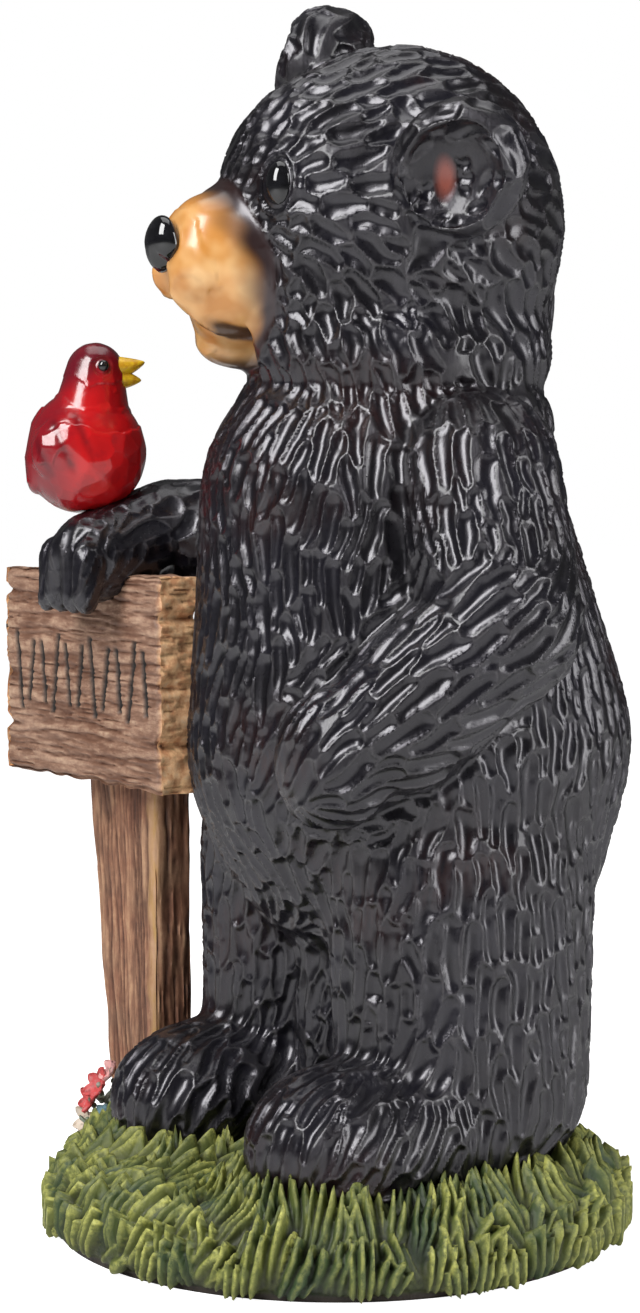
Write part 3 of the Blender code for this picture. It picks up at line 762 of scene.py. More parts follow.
def makeEyesAndNose():
    black = glossMaterial("gloss black", (0.004, 0.004, 0.005), (0.008, 0.008, 0.010))
    shape = bmesh.new()
    for spot in eyeSpots:
        addBall(shape, (0, 0, 0), eyeRadii, place=headPlace @ eyeFrame(spot))
    eyes = makeObject("bear_eyes", shape)
    finishPiece(eyes, ["bear"], black, sole)
    shape = bmesh.new()
    wide, high = 10.0, 11.5
    addBall(shape, (0, 0, 0), (wide, 6.2, high))
    for vert in shape.verts:
        share = (vert.co.z + high) / (2 * high)
        vert.co.x *= 0.52 + 0.50 * min(1, share * 1.6)           # narrow below, broad on top
        vert.co.y += 2.0 * max(0, -vert.co.z) / high + 2.0 * (vert.co.x / wide) ** 2
        if vert.co.y < 3:                                        # nostrils and the groove between them
            for side in (-1, 1):
                aside, up = vert.co.x - side * 5.8, vert.co.z + 1.5 + 0.6 * side * vert.co.x
                vert.co.y += 3.2 * math.exp(-((aside / 1.9) ** 2 + (up / 3.0) ** 2))
            vert.co.y += 0.9 * math.exp(-(vert.co.x / 0.9) ** 2) * min(1, max(0, -vert.co.z / 3))
    bmesh.ops.transform(shape, matrix=headPlace @ Matrix.Translation((0, -101.2, -12.2)), verts=shape.verts)
    nose = makeObject("bear_nose", shape)
    finishPiece(nose, ["bear"], black, sole)


makeBear()
makeEyesAndNose()


# Grass base: a spun disc covered in tufts, with painted highlights on the blades and painted shade between
# them

grassLook = {
    "radius": 113.0,
    "outerRadius": 119.7,
    "top": 27.4,
    "tuftTop": 33.9,
    "bareMiddle": 0.62,                                    # within this share of the radius the disc is level
    "tuftLength": 20.0,
    "tuftWidth": 13.5,
    "tuftHeight": 9.6,
    "olive": (0.125, 0.145, 0.030),
    "moss": (0.036, 0.066, 0.022),
    # painted highlight on the blade tips, then painted shade for the hollows
    "tipHighlight": (0.560, 0.560, 0.140),
    "shadeColour": (0.006, 0.008, 0.003),
    "rim": (0.030, 0.020, 0.014),
}


def grassDisc():
    look = grassLook
    reach = look["radius"]
    outline = [(1.0, 0.0), (1.0, 3.2), (1.012, 5.0), (1.015, 8.4), (0.995, 15.0), (0.945, 22.5), (0.86, 26.6),
               (0.74, 27.2), (look["bareMiddle"], look["top"])]
    rows = []
    for (startShare, startHigh), (endShare, endHigh) in zip(outline, outline[1:]):
        span = math.hypot((endShare - startShare) * reach, endHigh - startHigh)
        steps = max(1, round(span / (0.78 * coarse)))
        for step in range(steps):
            share = step / steps
            rows.append(((startShare + (endShare - startShare) * share) * reach,
                         startHigh + (endHigh - startHigh) * share))
    for share in [look["bareMiddle"] - 0.0125 * step for step in range(25)] + [0.30, 0.16, 0.0]:
        rows.append((share * reach, look["top"]))
    shape = bmesh.new()
    line = [shape.verts.new((0, 0, 0))] + [shape.verts.new((radius, 0, high)) for radius, high in rows]
    for first, second in zip(line, line[1:]):
        shape.edges.new((first, second))
    bmesh.ops.spin(shape, geom=shape.verts[:] + shape.edges[:], cent=(0, 0, 0), axis=(0, 0, 1),
                   angle=math.tau, steps=round(800 / coarse), use_merge=True)
    bmesh.ops.remove_doubles(shape, verts=shape.verts, dist=0.01)
    bmesh.ops.recalc_face_normals(shape, faces=shape.faces)
    return shape


def makeGrass():
    look = grassLook
    item = makeObject("grass_tufts", grassDisc())
    points, normals = readPoints(item.data), readNormals(item.data)
    flat = np.linalg.norm(points[:, :2], axis=1)
    grassy = smoothStep(1.4, 3.6, points[:, 2]) * smoothStep(0.30, 0.36, flat / look["radius"])
    upward = np.tile(np.array((0.0, 0.0, 1.0)), (len(points), 1))
    inward = np.stack([-points[:, 0], -points[:, 1], 0 * flat], axis=1) / np.maximum(flat, 1)[:, None]
    slope = alongSurface(upward + 0.35 * inward, normals)
    chance = random.Random(23)
    order = list(np.nonzero(grassy > 0.3)[0])
    chance.shuffle(order)
    tree = makeTree(points)
    covered = np.zeros(len(points), bool)
    rise, hue, tip, strand = np.zeros((4, len(points)))
    for index in order:                                      # fanned tufts, the higher one shows
        if covered[index]:
            continue
        length = look["tuftLength"] * chance.uniform(0.75, 1.25)
        width = look["tuftWidth"] * chance.uniform(0.7, 1.25)
        near = nearby(tree, points[index], length * 0.75)
        away = points[near] - points[index]
        lean = chance.gauss(0.25, 0.36)
        side = np.cross(normals[index], slope[index])
        runWay = slope[index] * math.cos(lean) - side * math.sin(lean)
        sideWay = np.cross(normals[index], runWay)
        along = away @ runWay / length + 0.5
        across = away @ sideWay
        covered[near[((along - 0.5) / 0.50) ** 2 + (across / (width * 0.58)) ** 2 < 1]] = True
        curve = chance.uniform(-3.5, 3.5)
        bent = across - curve * (along - 0.4) ** 2
        spread = width / 2 * (0.55 + 0.6 * np.clip(along, 0, 1))
        fan = np.abs(bent / spread)
        phase = chance.random() * 6
        streak = np.sin(bent / spread * chance.uniform(8.0, 11.5) + 1.2 * np.sin(along * 3 + phase) + phase)
        reach = 0.94 - 0.20 * fan ** 2 + 0.10 * streak
        body = np.clip(1 - fan ** 3.2, 0, 1) * smoothStep(-0.05, 0.35, along)
        wedge = (0.12 + 0.88 * np.clip(along, 0, 1) ** 1.25) * smoothStep(reach + 0.03, reach - 0.03, along)
        height = body * wedge * (0.76 + 0.34 * streak) * chance.uniform(0.65, 1.15)
        height = np.where(normals[near] @ normals[index] > 0.1, height, 0)
        won = height > rise[near]
        rise[near] = np.where(won, height, rise[near])
        hue[near] = np.where(won, chance.random(), hue[near])
        tip[near] = np.where(won, np.clip(along, 0, 1), tip[near])
        strand[near] = np.where(won, 0.5 + 0.5 * streak, strand[near])
    flatTop = smoothStep(0.90, 0.70, flat / look["radius"])
    raised = np.clip(rise, 0, 1.2) * look["tuftHeight"] * grassy * (1 - 0.25 * flatTop)
    moved = points + normals * raised[:, None]
    outside = np.maximum(1, np.linalg.norm(moved[:, :2], axis=1) / look["outerRadius"])
    moved[:, :2] /= outside[:, None]
    moved[:, 2] = np.clip(moved[:, 2], np.minimum(points[:, 2], 0.6), look["tuftTop"])
    legs = bpy.data.objects["bear_legs"]
    covering = BVHTree.FromObject(legs, bpy.context.evaluated_depsgraph_get())
    # tufts climb against the feet and stop below them
    for index in np.nonzero((points[:, 2] > 22) & (grassy > 0.3))[0]:
        spot = Vector(moved[index]) * mm
        away = covering.find_nearest(spot)[3] / mm
        climb = 8.0 * (0.25 + rise[index]) * min(1, max(0, (15 - away) / 11))
        above = covering.ray_cast(Vector((spot.x, spot.y, 0.020)), Vector((0, 0, 1)))[0]
        ceiling = above.z / mm - 0.4 if above else 41.0
        moved[index, 2] = min(moved[index, 2] + climb, max(ceiling, 24.0))
    writePoints(item.data, moved)
    writeMasks(item.data, {"rise": rise * grassy, "hue": hue, "tip": tip * grassy, "strand": strand * grassy,
                           "rim": 1 - grassy})
    finishPiece(item, ["grass_base"], grassMaterial(), 0.0)


def grassMaterial():
    look = grassLook
    material, tree, shader = newMaterial("painted grass")
    rise, hue, tipMask = mask(tree, "rise"), mask(tree, "hue"), mask(tree, "tip")
    blades = speckle(tree, 330, 6, (1, 1, 0.4), 0.7)
    patches = speckle(tree, 45, 2)
    mixed = calc(tree, "ADD", calc(tree, "MULTIPLY", hue, 0.45), patches)
    paint = blendColour(tree, remap(tree, mixed, 0.55, 0.95), look["olive"], look["moss"])
    strand = mask(tree, "strand")
    # painted highlight along the strands near the tips; painted shade low down and between the strands
    warm = calc(tree, "MULTIPLY", remap(tree, tipMask, 0.20, 0.85), remap(tree, strand, 0.55, 0.95), True)
    warm = calc(tree, "MULTIPLY", warm, remap(tree, hue, 0.1, 0.8, 1.0, 0.35), True)
    between = remap(tree, strand, 0.40, 0.05, 0.0, 0.75)
    sunk = calc(tree, "MAXIMUM", remap(tree, rise, 0.42, 0.10, 0.0, 0.9), between)
    layered = paintedLight(tree, paint, look["tipHighlight"], look["shadeColour"], warm, sunk, 420.0)
    where = addNode(tree, "ShaderNodeTexCoord").outputs["Object"]
    height = addNode(tree, "ShaderNodeSeparateXYZ", {0: where}).outputs[2]
    low = calc(tree, "MULTIPLY", mask(tree, "rim"), remap(tree, height, 0.0038, 0.0024), True)
    colour = blendColour(tree, low, layered.outputs["Colour"], look["rim"])
    setPaint(tree, shader, colour, remap(tree, blades, 0.3, 0.7, 0.42, 0.62))
    setRelief(tree, shader, calc(tree, "ADD", blades, layered.outputs["Height"]), 0.6, 0.0008)
    return material


makeGrass()


# Sign: a rough board and its tapering post

boardLook = {
    "middle": -107.72,
    "width": 126.5,
    "thickness": 20.0,
    "height": 89.6,
    "top": 261.4,
    "front": -56.0,
    "grainCuts": 150,
    "grainDepth": 1.15,
    "strokes": 11,
    "strokeDepth": 1.6,
    "rounding": 2.0,
    "splits": {                                            # at each end: height, depth and half width
        -1: ((31, 5.0, 2.6), (-27, 5.5, 3.2), (-5, 1.6, 6)),
        1: ((31, 2.6, 3.0), (-21, 3.4, 3.4), (3, 1.6, 3)),
    },
    "wood": (0.270, 0.140, 0.088),
    "woodLight": (0.400, 0.240, 0.165),
    "groove": (0.080, 0.028, 0.013),
    # golden paint on the ends, made much lighter than real paint as painted light on the end face, which
    # faces the bear and lies in its shade
    "end": (0.620, 0.300, 0.145),
    "endLight": (1.000, 0.640, 0.330),
    # painted highlight on the raised wood, away from the grooves
    "paintedLight": (0.560, 0.385, 0.265),
    "stroke": (0.010, 0.008, 0.007),
}

postLook = {
    "inner": -80.0,
    "front": -35.7,
    "topWidth": 66.0,
    "footWidth": 37.0,
    "meanWidth": 52,
    "depth": 19.5,
    "foot": 26.2,
    "top": 250.6,
    "grooves": 46,
    "grooveDepth": 1.1,
    "wood": (0.350, 0.150, 0.086),
    "woodLight": (0.480, 0.275, 0.165),
    "groove": (0.060, 0.020, 0.010),
    "corner": (0.500, 0.290, 0.100),
    # painted highlight on the raised wood, away from the grooves
    "paintedLight": (0.560, 0.350, 0.200),
}


def gridBlock(sizes, cuts):
    # a closed unit block with that many cuts along X, Y and Z
    shape = bmesh.new()
    bmesh.ops.create_cube(shape, size=1)
    for axis in range(3):
        running = [edge for edge in shape.edges
                   if abs(edge.verts[0].co[axis] - edge.verts[1].co[axis]) > 0.9]
        count = max(1, round(cuts[axis] / coarse))
        bmesh.ops.subdivide_edges(shape, edges=running, cuts=count, use_grid_fill=True)
    bmesh.ops.scale(shape, vec=sizes, verts=shape.verts)
    return shape


def grooveField(along, across, count, seed, wave, widths, lengths):
    # V cuts that run along one way, wander across it and end here and there
    chance = random.Random(seed)
    deep = np.zeros(len(along))
    low, high = across.min(), across.max()
    start, end = along.min(), along.max()
    for step in range(count):
        place = chance.uniform(low, high)
        middle, reach = chance.uniform(start, end), chance.uniform(*lengths) / 2
        wander = (wave * np.sin(along / chance.uniform(9, 16) + chance.uniform(0, 6))
                  + wave * 0.4 * np.sin(along / chance.uniform(3, 6) + chance.uniform(0, 6)))
        width = chance.uniform(*widths)
        fade = smoothStep(reach, reach * 0.6, np.abs(along - middle))
        cut = np.clip(1 - np.abs(across - place - wander) / width, 0, 1) * fade * chance.uniform(0.45, 1)
        deep = np.maximum(deep, cut)
    return deep


def makeBoard():
    look = boardLook
    sizes = (look["width"], look["thickness"], look["height"])
    item = makeObject("sign_plank", gridBlock(sizes, (162, 24, 114)))
    points = readPoints(item.data)
    across, deep, high = points.T
    face = np.abs(deep) > sizes[1] / 2 - 0.01
    endFace = np.abs(across) > sizes[0] / 2 - 0.01
    topFace = np.abs(high) > sizes[2] / 2 - 0.01
    grain, chips, notch, strokes = np.zeros((4, len(points)))
    for seed, sign in ((31, -1), (32, 1)):
        side = face & (np.sign(deep) == sign)
        cuts = grooveField(across[side], high[side], look["grainCuts"], seed, 0.8, (0.55, 1.25), (16, 90))
        grain[side] = cuts
    for sign in (-1, 1):
        side = endFace & (np.sign(across) == sign)
        chips[side] = grooveField(deep[side], high[side], 70, 40 + sign, 0.7, (0.7, 1.5), (5, 15))
        edge = topFace & (np.sign(high) == sign)
        edgeCuts = grooveField(across[edge], deep[edge], 26, 44 + sign, 0.6, (0.8, 1.5), (20, 90))
        chips[edge] = np.maximum(chips[edge], edgeCuts)
    for sign, spots in look["splits"].items():
        nearSplit = smoothStep(sizes[0] / 2 - 22, sizes[0] / 2 - 4, across * sign)
        for spot, depth, reach in spots:
            away = np.abs(high - spot + 0.06 * across) / reach
            notch = np.maximum(notch, depth * np.clip(1.15 - away, 0, 1) * (across * sign > 0))
            grain = np.maximum(grain, 1.5 * (np.clip(1 - away * 2.2, 0, 1) * nearSplit * face))
    nearEnd = smoothStep(sizes[0] / 2 - 7, sizes[0] / 2, np.abs(across))
    nearTop = smoothStep(sizes[2] / 2 - 6, sizes[2] / 2, np.abs(high))
    for step in range(look["strokes"]):                      # a row of plain strokes where the word would be
        length = look["height"] * (0.30 if step % 3 else 0.38)
        lean = math.radians(9 if step % 2 else -7)
        middle = look["width"] * 0.80 * (step / (look["strokes"] - 1) - 0.5)
        offset = np.abs((across - middle) * math.cos(lean) - high * math.sin(lean))
        stroke = smoothStep(2.1, 1.1, offset) * smoothStep(length / 2 + 0.8, length / 2 - 0.8, np.abs(high))
        strokes = np.maximum(strokes, stroke * (deep < 0) * face)
    uneven = 0.5 * softNoise(points * (0.4, 1, 1), 13, 3) + 0.25 * softNoise(points, 5, 4)
    inset = np.maximum(grain * look["grainDepth"] * (1 - strokes), look["strokeDepth"] * strokes)
    inset += 0.35 * (1 + uneven)
    ends = np.clip(endFace + smoothStep(sizes[0] / 2 - 3.0 - 2.0 * uneven, sizes[0] / 2 - 0.6, across), 0, 1)
    rounding = look["rounding"] * (smoothStep(0.4, 1, nearEnd) ** 2 + smoothStep(0.4, 1, nearTop) ** 2)
    points[:, 1] -= np.sign(deep) * np.where(face, inset + rounding, 0)
    points[:, 1] -= np.where(face, 0, deep * 0.06)
    points[:, 0] -= np.sign(across) * (nearEnd * (notch + 0.6 * (1 + softNoise(points, 8, 6)))
                                       + np.where(endFace, chips * 1.1, 0))
    uneven = nearTop * 0.8 * (1 + softNoise(points, 16, 7))
    points[:, 2] -= np.sign(high) * (uneven + np.where(topFace, chips, 0))
    points += (look["middle"], look["front"] + look["thickness"] / 2, look["top"] - look["height"] / 2)
    writePoints(item.data, points)
    writeMasks(item.data, {"groove": np.maximum(grain, 0.6 * chips), "end": ends, "stroke": strokes,
                           "light": np.clip(1 - np.maximum(grain, chips) * 2, 0, 1)})
    material = woodMaterial("tan carved board", look, "end", (0.25, 1, 1))
    finishPiece(item, ["sign_board"], material, 0, 50)


def makePost():
    look = postLook
    item = makeObject("sign_pole", gridBlock((1, 1, 1), (50, 18, 172)))
    points = readPoints(item.data)
    across, deep, high = points.T
    share = high + 0.5
    width = look["footWidth"] + (look["topWidth"] - look["footWidth"]) * share
    front, sides, cap = np.abs(deep) > 0.499, np.abs(across) > 0.499, np.abs(high) > 0.499
    length = look["top"] - look["foot"]
    grain = np.zeros(len(points))
    broad, narrow = (across, look["meanWidth"], look["grooves"]), (deep, look["depth"], look["grooves"] // 2)
    for seed, chosen, (way, span, count) in (
            (51, front & (deep < 0), broad), (52, front & (deep > 0), broad),
            (53, sides & (across < 0), narrow), (54, sides & (across > 0), narrow)):
        along, aside = high[chosen] * length, way[chosen] * span
        grain[chosen] = grooveField(along, aside, count, seed, 0.8, (0.8, 1.7), (60, 240))
    grain[cap] = grain[cap] * 0.3
    x = look["inner"] - width * (0.5 - across)
    y = look["front"] + look["depth"] * (deep + 0.5)
    z = look["foot"] + length * share
    placed = np.stack([x, y, z], axis=1)
    uneven = 0.4 * (1 + softNoise(placed * (1, 1, 0.3), 9, 9))
    inset = grain * look["grooveDepth"] + uneven
    corner = smoothStep(0.44, 0.5, np.abs(across)) * smoothStep(0.36, 0.5, np.abs(deep))
    placed[:, 1] -= np.sign(deep) * (np.where(front, inset, 0) + corner * 0.8)
    placed[:, 0] -= np.sign(across) * (np.where(sides, inset, 0) + corner * 0.8)
    writePoints(item.data, placed)
    stripe = smoothStep(0.34, 0.47, across + 0.03 * softNoise(placed, 12, 2)) * (deep < 0.2)
    stripe = stripe * smoothStep(-0.3, -0.5, deep)
    writeMasks(item.data, {"groove": grain, "end": stripe, "stroke": 0 * grain,
                           "light": np.clip(1 - grain * 2, 0, 1)})
    material = woodMaterial("brown carved post", look, "corner", (1, 1, 0.2))
    finishPiece(item, ["sign_post"], material, 0, 50)


def woodMaterial(name, look, endKey, stretch):
    material, tree, shader = newMaterial(name)
    fibre = speckle(tree, 260, 6, stretch, 0.7)
    tone = speckle(tree, 34, 3)
    paint = blendColour(tree, remap(tree, tone, 0.38, 0.66), look["wood"], look["woodLight"])
    paint = blendColour(tree, remap(tree, fibre, 0.60, 0.36, 0.0, 0.6), paint, look["groove"])
    # on the board the end colours also carry painted light for the shaded end face
    endLight = look.get("endLight", look["woodLight"])
    endPaint = blendColour(tree, remap(tree, fibre, 0.4, 0.62), look[endKey], endLight)
    paint = blendColour(tree, mask(tree, "end"), paint, endPaint)
    # painted highlight on the wood away from the grooves; painted shade in the grooves
    highlit = calc(tree, "MULTIPLY", mask(tree, "light"), remap(tree, fibre, 0.44, 0.64, 0.0, 0.8), True)
    sunk = remap(tree, mask(tree, "groove"), 0.15, 0.75)
    layered = paintedLight(tree, paint, look["paintedLight"], look["groove"], highlit, sunk, 300.0)
    stroke = look.get("stroke", look["groove"])
    colour = blendColour(tree, mask(tree, "stroke"), layered.outputs["Colour"], stroke)
    setPaint(tree, shader, colour, remap(tree, fibre, 0.3, 0.7, 0.5, 0.68))
    setRelief(tree, shader, fibre, 0.5, 0.0005)
    return material


makeBoard()
makePost()


# Red bird on the right paw: its own frame faces +X

birdLook = {
    "voxel": 0.60,
    "chips": 5.6,
    "chipDepth": 0.30,
    "featherDepth": 0.25,
    "red": (0.600, 0.008, 0.010),
    "crown": (0.130, 0.006, 0.014),
    "shade": (0.045, 0.004, 0.008),
    "yellow": (0.800, 0.520, 0.020),
}

birdPlace = Matrix.Translation((-95.2, -59.0, 285.5)) @ Matrix.Rotation(math.radians(52), 4, "Z")


def makeBird():
    look = birdLook
    shape = bmesh.new()
    addBall(shape, (0, 0, 26), (25, 21, 26), (0, math.radians(-18), 0))
    addBall(shape, (-2, 0, 20), (22, 20, 20))
    addLimb(shape, (-15, 0, 22), (11, 13, 12), (-20, 0, 13), (5, 9, 6), 4)
    addLimb(shape, (2, 0, 40), (17, 16, 14), (4, 0, 57), (12.5, 12.5, 13.5), 6)
    for side in (-1, 1):
        addBall(shape, (-4, side * 14.0, 27), (18, 7.5, 15), (0, math.radians(-24), 0))
    item = makeObject("bird_body", shape)
    fuse(item, look["voxel"] * coarse, 28)
    points, normals = readPoints(item.data), readNormals(item.data)
    bodyOnly = smoothStep(60, 50, points[:, 2])
    chips = chipFacets(points, normals, 0.55 + 0.45 * bodyOnly, look["chips"], look["chipDepth"], 6)
    for side in (-1, 1):
        away = points - np.array((8.6, side * 11.2, 60.5))
        distance = np.linalg.norm(away, axis=1)
        chips += 0.5 * np.exp(-((distance - 3.4) / 0.8) ** 2)
    moved = points - normals * chips[:, None]
    along, across, high = points.T
    feathers = smoothStep(14.5, 18, np.abs(across)) * smoothStep(14, 20, high) * smoothStep(46, 40, high)
    groove = np.abs(np.sin(along / 3.4 + high / 7.5)) ** 6 * feathers * smoothStep(8, 2, along)
    moved -= normals * (groove * look["featherDepth"])[:, None]
    writePoints(item.data, moved)
    crown = np.maximum(smoothStep(44, 62, high - 0.5 * along), smoothStep(4, -14, along) * 0.75)
    writeMasks(item.data, {"crown": crown, "crease": np.clip(chips - 0.35, 0, 1) * 0.4 + groove * 0.6})
    item.data.transform(birdPlace)
    finishPiece(item, ["red_bird"], birdMaterial(), 0)


def makeBeakAndEyes():
    shape = bmesh.new()
    for high, rise, length, radii in ((60.0, 2.4, 12.0, (5.6, 4.7)), (55.2, -0.4, 10.5, (5.4, 4.4))):
        ring = bmesh.ops.create_circle(shape, cap_ends=False, segments=20, radius=1)["verts"]
        place = (Matrix.Translation((12.5, 0, high)) @ Matrix.Rotation(math.radians(90), 4, "Y")
                 @ Matrix.Diagonal((radii[1], radii[0], 1, 1)))
        bmesh.ops.transform(shape, verts=ring, matrix=place)
        edges = [edge for edge in shape.edges if all(vert in ring for vert in edge.verts)]
        bmesh.ops.edgeloop_fill(shape, edges=edges)
        for step in range(1, 9):                             # narrows and lifts towards the tip
            out = bmesh.ops.extrude_edge_only(shape, edges=edges)["geom"]
            ring = [vert for vert in out if isinstance(vert, bmesh.types.BMVert)]
            edges = [edge for edge in out if isinstance(edge, bmesh.types.BMEdge)
                     and all(vert in ring for vert in edge.verts)]
            share = step / 8
            before = (1 - ((step - 1) / 8) ** 1.5) ** 0.8 + 0.05
            size = ((1 - share ** 1.5) ** 0.8 + 0.05) / before
            middle = sum((vert.co for vert in ring), Vector()) / len(ring)
            for vert in ring:
                vert.co = middle + (vert.co - middle) * size + Vector((length / 8, 0, rise / 8 * share * 1.6))
        bmesh.ops.edgeloop_fill(shape, edges=edges)
    bmesh.ops.recalc_face_normals(shape, faces=shape.faces)
    bmesh.ops.subdivide_edges(shape, edges=shape.edges, cuts=1, use_grid_fill=True, smooth=0.6)
    bmesh.ops.transform(shape, matrix=birdPlace, verts=shape.verts)
    beak = makeObject("bird_beak", shape)
    material, tree, shader = newMaterial("yellow beak")
    cloud = speckle(tree, 420, 4)
    paint = blendColour(tree, remap(tree, cloud, 0.36, 0.62), birdLook["yellow"], (0.55, 0.27, 0.01))
    setPaint(tree, shader, paint, remap(tree, cloud, 0.3, 0.7, 0.22, 0.4))
    setRelief(tree, shader, cloud, 0.3, 0.0004)
    finishPiece(beak, ["red_bird"], material, 0, 60)
    shape = bmesh.new()
    for side in (-1, 1):
        addBall(shape, (8.6, side * 10.7, 60.5), (2.3, 1.9, 2.4), place=birdPlace)
    eyes = makeObject("bird_eyes", shape)
    black = glossMaterial("bird eye black", (0.006, 0.006, 0.007), (0.02, 0.018, 0.018))
    finishPiece(eyes, ["red_bird"], black, 0)


def birdMaterial():
    look = birdLook
    material, tree, shader = newMaterial("glossy bird red")
    cloud = speckle(tree, 75, 4)
    paint = blendColour(tree, mask(tree, "crown"), look["red"], look["crown"])
    paint = blendColour(tree, remap(tree, cloud, 0.52, 0.72, 0.0, 0.6), paint, look["crown"])
    # lighter red in random patches; painted shade in the chip cuts and feather grooves
    layered = paintedLight(tree, paint, (0.62, 0.06, 0.06), look["shade"], remap(tree, cloud, 0.6, 0.8, 0.0, 0.2),
                      mask(tree, "crease"), 300.0)
    matt = remap(tree, speckle(tree, 500, 4), 0.3, 0.7, 0.12, 0.26)
    setPaint(tree, shader, layered.outputs["Colour"], matt)
    setRelief(tree, shader, speckle(tree, 320, 4), 0.15, 0.0006)
    setCoat(shader, 0.45, 0.14)
    return material


makeBird()
makeBeakAndEyes()


# Flowers at the foot of the post: cupped petals, leaves and stems

flowerLook = {
    "middle": (-103.7, -47.0, 21.9),
    "behind": -36.1,
    "leaves": 16,
    "blooms": (                                            # place, petal length, colour
        ((6, 1, 27), 7.0, "pink"), ((0, -2, 20), 8.0, "coral"), ((-5, -3, 13), 7.0, "coral"),
        ((-8, -3, 3.5), 7.0, "cream"), ((1, -4, 3.0), 6.5, "cream"), ((5, -3, 9), 4.5, "blue"),
        ((4, 7, 16), 6.0, "pink"), ((-4, 7, 8), 6.0, "coral"),
    ),
    "pink": (0.80, 0.42, 0.40),
    "coral": (0.66, 0.085, 0.085),
    "cream": (0.76, 0.64, 0.52),
    "blue": (0.24, 0.40, 0.47),
    "leaf": (0.20, 0.24, 0.17),
}


def addPetal(shape, place, length, width, cup, thickness=0.9):
    # one cupped petal that grows along +X in its own frame
    out = bmesh.ops.create_grid(shape, x_segments=7, y_segments=5, size=0.5)["verts"]
    for vert in out:
        share = vert.co.x + 0.5
        half = width * (math.sin(min(1, share * 0.94 + 0.06) * math.pi) ** 0.6 * 0.9 + 0.1)
        side = vert.co.y * 2
        high = cup * (side ** 2 * 0.5 + share ** 2) + 0.25 * math.sin(side * 6)
        vert.co = Vector((share * length, side * half / 2, high))
    faces = list({face for vert in out for face in vert.link_faces})
    grown = bmesh.ops.solidify(shape, geom=faces, thickness=thickness)["geom"]
    every = set(out) | {vert for vert in grown if isinstance(vert, bmesh.types.BMVert)}
    bmesh.ops.transform(shape, matrix=place, verts=list(every))


def makeFlowers():
    look = flowerLook
    chance = random.Random(3)
    middle = Vector(look["middle"])
    groups = {}
    for (x, y, z), length, colour in look["blooms"]:
        shape = groups.setdefault(colour, bmesh.new())
        spot = Matrix.Translation(middle + Vector((x, y, z)))
        facing = Matrix.Rotation(math.radians(chance.uniform(-25, 25)), 4, "Z")
        facing = facing @ Matrix.Rotation(math.radians(72), 4, "X")
        for step in range(5):
            turn = Matrix.Rotation(math.tau * step / 5 + chance.uniform(-0.2, 0.2), 4, "Z")
            tilt = Matrix.Rotation(math.radians(-chance.uniform(12, 34)), 4, "Y")
            grown = length * chance.uniform(0.85, 1.1)
            addPetal(shape, spot @ facing @ turn @ tilt, grown, length * 0.72, 1.0)
        leaves = groups.setdefault("leaf", bmesh.new())
        addBall(leaves, (0, 0, 0.6), (1.3, 1.3, 1.1), place=spot @ facing, detail=3)
    for step in range(look["leaves"]):
        angle = chance.uniform(0, math.tau)
        reach = chance.uniform(1, 6)
        high = chance.uniform(-2, 13)
        base = middle + Vector((math.cos(angle) * reach, math.sin(angle) * reach * 0.7, high))
        turn = Matrix.Rotation(angle, 4, "Z") @ Matrix.Rotation(math.radians(-chance.uniform(10, 60)), 4, "Y")
        addPetal(leaves, Matrix.Translation(base) @ turn, chance.uniform(6, 9), 4.2, 0.8)
    for (x, y, z), length, colour in look["blooms"]:
        foot, bloom = middle + Vector((x * 0.4, y * 0.3, -3)), middle + Vector((x, y + 0.6, z - 0.4))
        addLimb(leaves, foot, (1.6, 1.6, 1.6), bloom, (1.2, 1.2, 1.2), 7, 2)
    low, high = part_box("flowers")
    for colour, shape in groups.items():
        for vert in shape.verts:                             # kept within the solid and clear of the post
            vert.co.x = min(max(vert.co.x, low.x / mm), high.x / mm)
            vert.co.y = min(max(vert.co.y, low.y / mm), look["behind"])
            vert.co.z = min(max(vert.co.z, low.z / mm), high.z / mm)
        item = makeObject("petals_" + colour if colour != "leaf" else "flower_leaves", shape)
        finishPiece(item, ["flowers"], petalMaterial(colour, look[colour]), 0, 60)


def petalMaterial(name, colour):
    material, tree, shader = newMaterial("petal paint " + name)
    cloud = speckle(tree, 330, 4)
    pale = tuple(0.5 * value + 0.32 for value in colour)
    deep = tuple(0.45 * value for value in colour)
    raised, sunk = remap(tree, cloud, 0.52, 0.66), remap(tree, cloud, 0.46, 0.34)
    # here the lighter and darker patches fall at random, as tones of the petal paint
    layered = paintedLight(tree, colour, pale, deep, raised, sunk, 700.0)
    setPaint(tree, shader, layered.outputs["Colour"], remap(tree, cloud, 0.3, 0.7, 0.4, 0.6))
    setRelief(tree, shader, cloud, 0.35, 0.0005)
    return material


makeFlowers()


# Floor, light and camera

studio = {
    "floor": (0.86, 0.86, 0.86),
    "world": 0.07,
    "backdrop": 1.0,
    "floorGlow": 0.04,
    "floorSeen": 0.96,
    "azimuth": 54.0,
    "distance": 1.100,
    "eyeHeight": 0.310,
    "aimHeight": 0.229,
    "focalPixels": 2750.0,
    "photoHeight": 1313,
    "aside": 0.0068,
}


def makeFloor():
    shape = bmesh.new()
    bmesh.ops.create_grid(shape, x_segments=8, y_segments=8, size=6.0)
    item = makeObject("studio_floor", shape)
    material, tree, shader = newMaterial("pale studio paper")
    paper = speckle(tree, 3, 3)
    colour = blendColour(tree, paper, studio["floor"], (0.83, 0.83, 0.83))
    setPaint(tree, shader, colour, remap(tree, paper, 0.3, 0.7, 0.6, 0.7))
    shader.inputs["Emission Color"].default_value = (1, 1, 1, 1)
    seen = addNode(tree, "ShaderNodeLightPath").outputs["Is Camera Ray"]      # looks like a lit paper sweep
    glow = remap(tree, seen, 0, 1, studio["floorGlow"], studio["floorSeen"])
    plug(tree, glow, shader.inputs["Emission Strength"])
    item.data.materials.append(material)


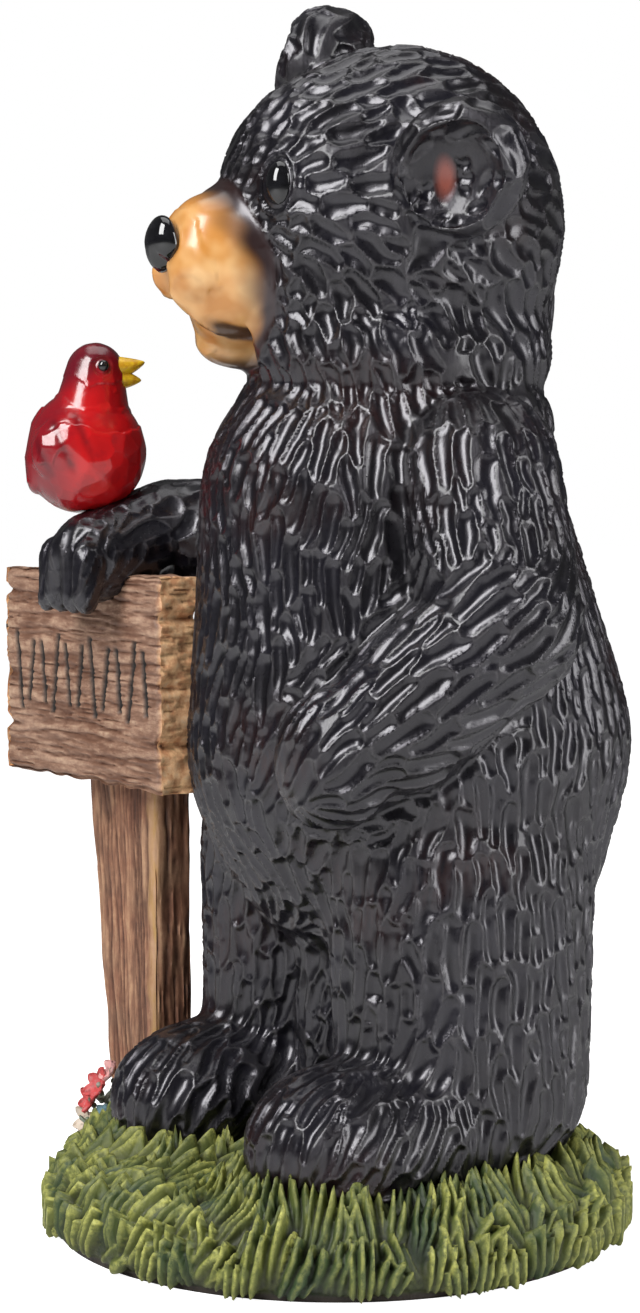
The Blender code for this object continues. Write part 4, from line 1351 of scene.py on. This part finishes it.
def addLight(name, place, aim, size, power):
    lamp = bpy.data.lights.new(name, "AREA")
    lamp.shape = "RECTANGLE"
    lamp.size, lamp.size_y = size
    lamp.energy = power
    item = bpy.data.objects.new(name, lamp)
    item.location = place
    item.rotation_euler = (Vector(aim) - Vector(place)).to_track_quat("-Z", "Y").to_euler()
    bpy.context.scene.collection.objects.link(item)


def makeStudio():
    bpy.context.scene.view_settings.view_transform = "Standard"    # paint colours as they are
    world = bpy.data.worlds.new("soft white room")
    bpy.context.scene.world = world
    world.use_nodes = True
    tree = world.node_tree
    room = tree.nodes["Background"]
    room.inputs["Color"].default_value = (1, 1, 1, 1)
    room.inputs["Strength"].default_value = studio["world"]
    backdrop = addNode(tree, "ShaderNodeBackground", {"Color": (1, 1, 1, 1), "Strength": studio["backdrop"]})
    seen = addNode(tree, "ShaderNodeLightPath").outputs["Is Camera Ray"]
    both = addNode(tree, "ShaderNodeMixShader", {0: seen, 1: room, 2: backdrop})
    plug(tree, both, tree.nodes["World Output"].inputs["Surface"])
    turn = math.radians(studio["azimuth"])
    toward = Vector((math.sin(turn), -math.cos(turn), 0))
    right = Vector((math.cos(turn), math.sin(turn), 0))
    middle = Vector((0, 0, 0.25))
    addLight("key", middle + toward * 0.9 - right * 0.9 + Vector((0, 0, 1.0)), middle, (0.6, 1.2), 30)
    addLight("fill", middle + toward * 0.7 + right * 1.3 + Vector((0, 0, 0.4)), middle, (0.5, 1.3), 14)
    addLight("overhead", middle + Vector((0, 0, 1.6)) - toward * 0.2, middle, (1.2, 1.2), 8)
    tilt = math.atan((studio["eyeHeight"] - studio["aimHeight"]) / studio["distance"])
    back = toward * math.cos(tilt) + Vector((0, 0, math.sin(tilt)))
    up = back.cross(right)
    lens = bpy.data.cameras.new("photo_view")
    lens.sensor_width = 36.0
    lens.lens = studio["focalPixels"] / studio["photoHeight"] * lens.sensor_width
    camera = bpy.data.objects.new("photo_view", lens)
    place = toward * studio["distance"] + Vector((0, 0, studio["eyeHeight"])) - right * studio["aside"]
    camera.matrix_world = Matrix.Translation(place) @ Matrix((right, up, back)).transposed().to_4x4()
    bpy.context.scene.collection.objects.link(camera)
    bpy.context.scene.camera = camera


makeFloor()
makeStudio()
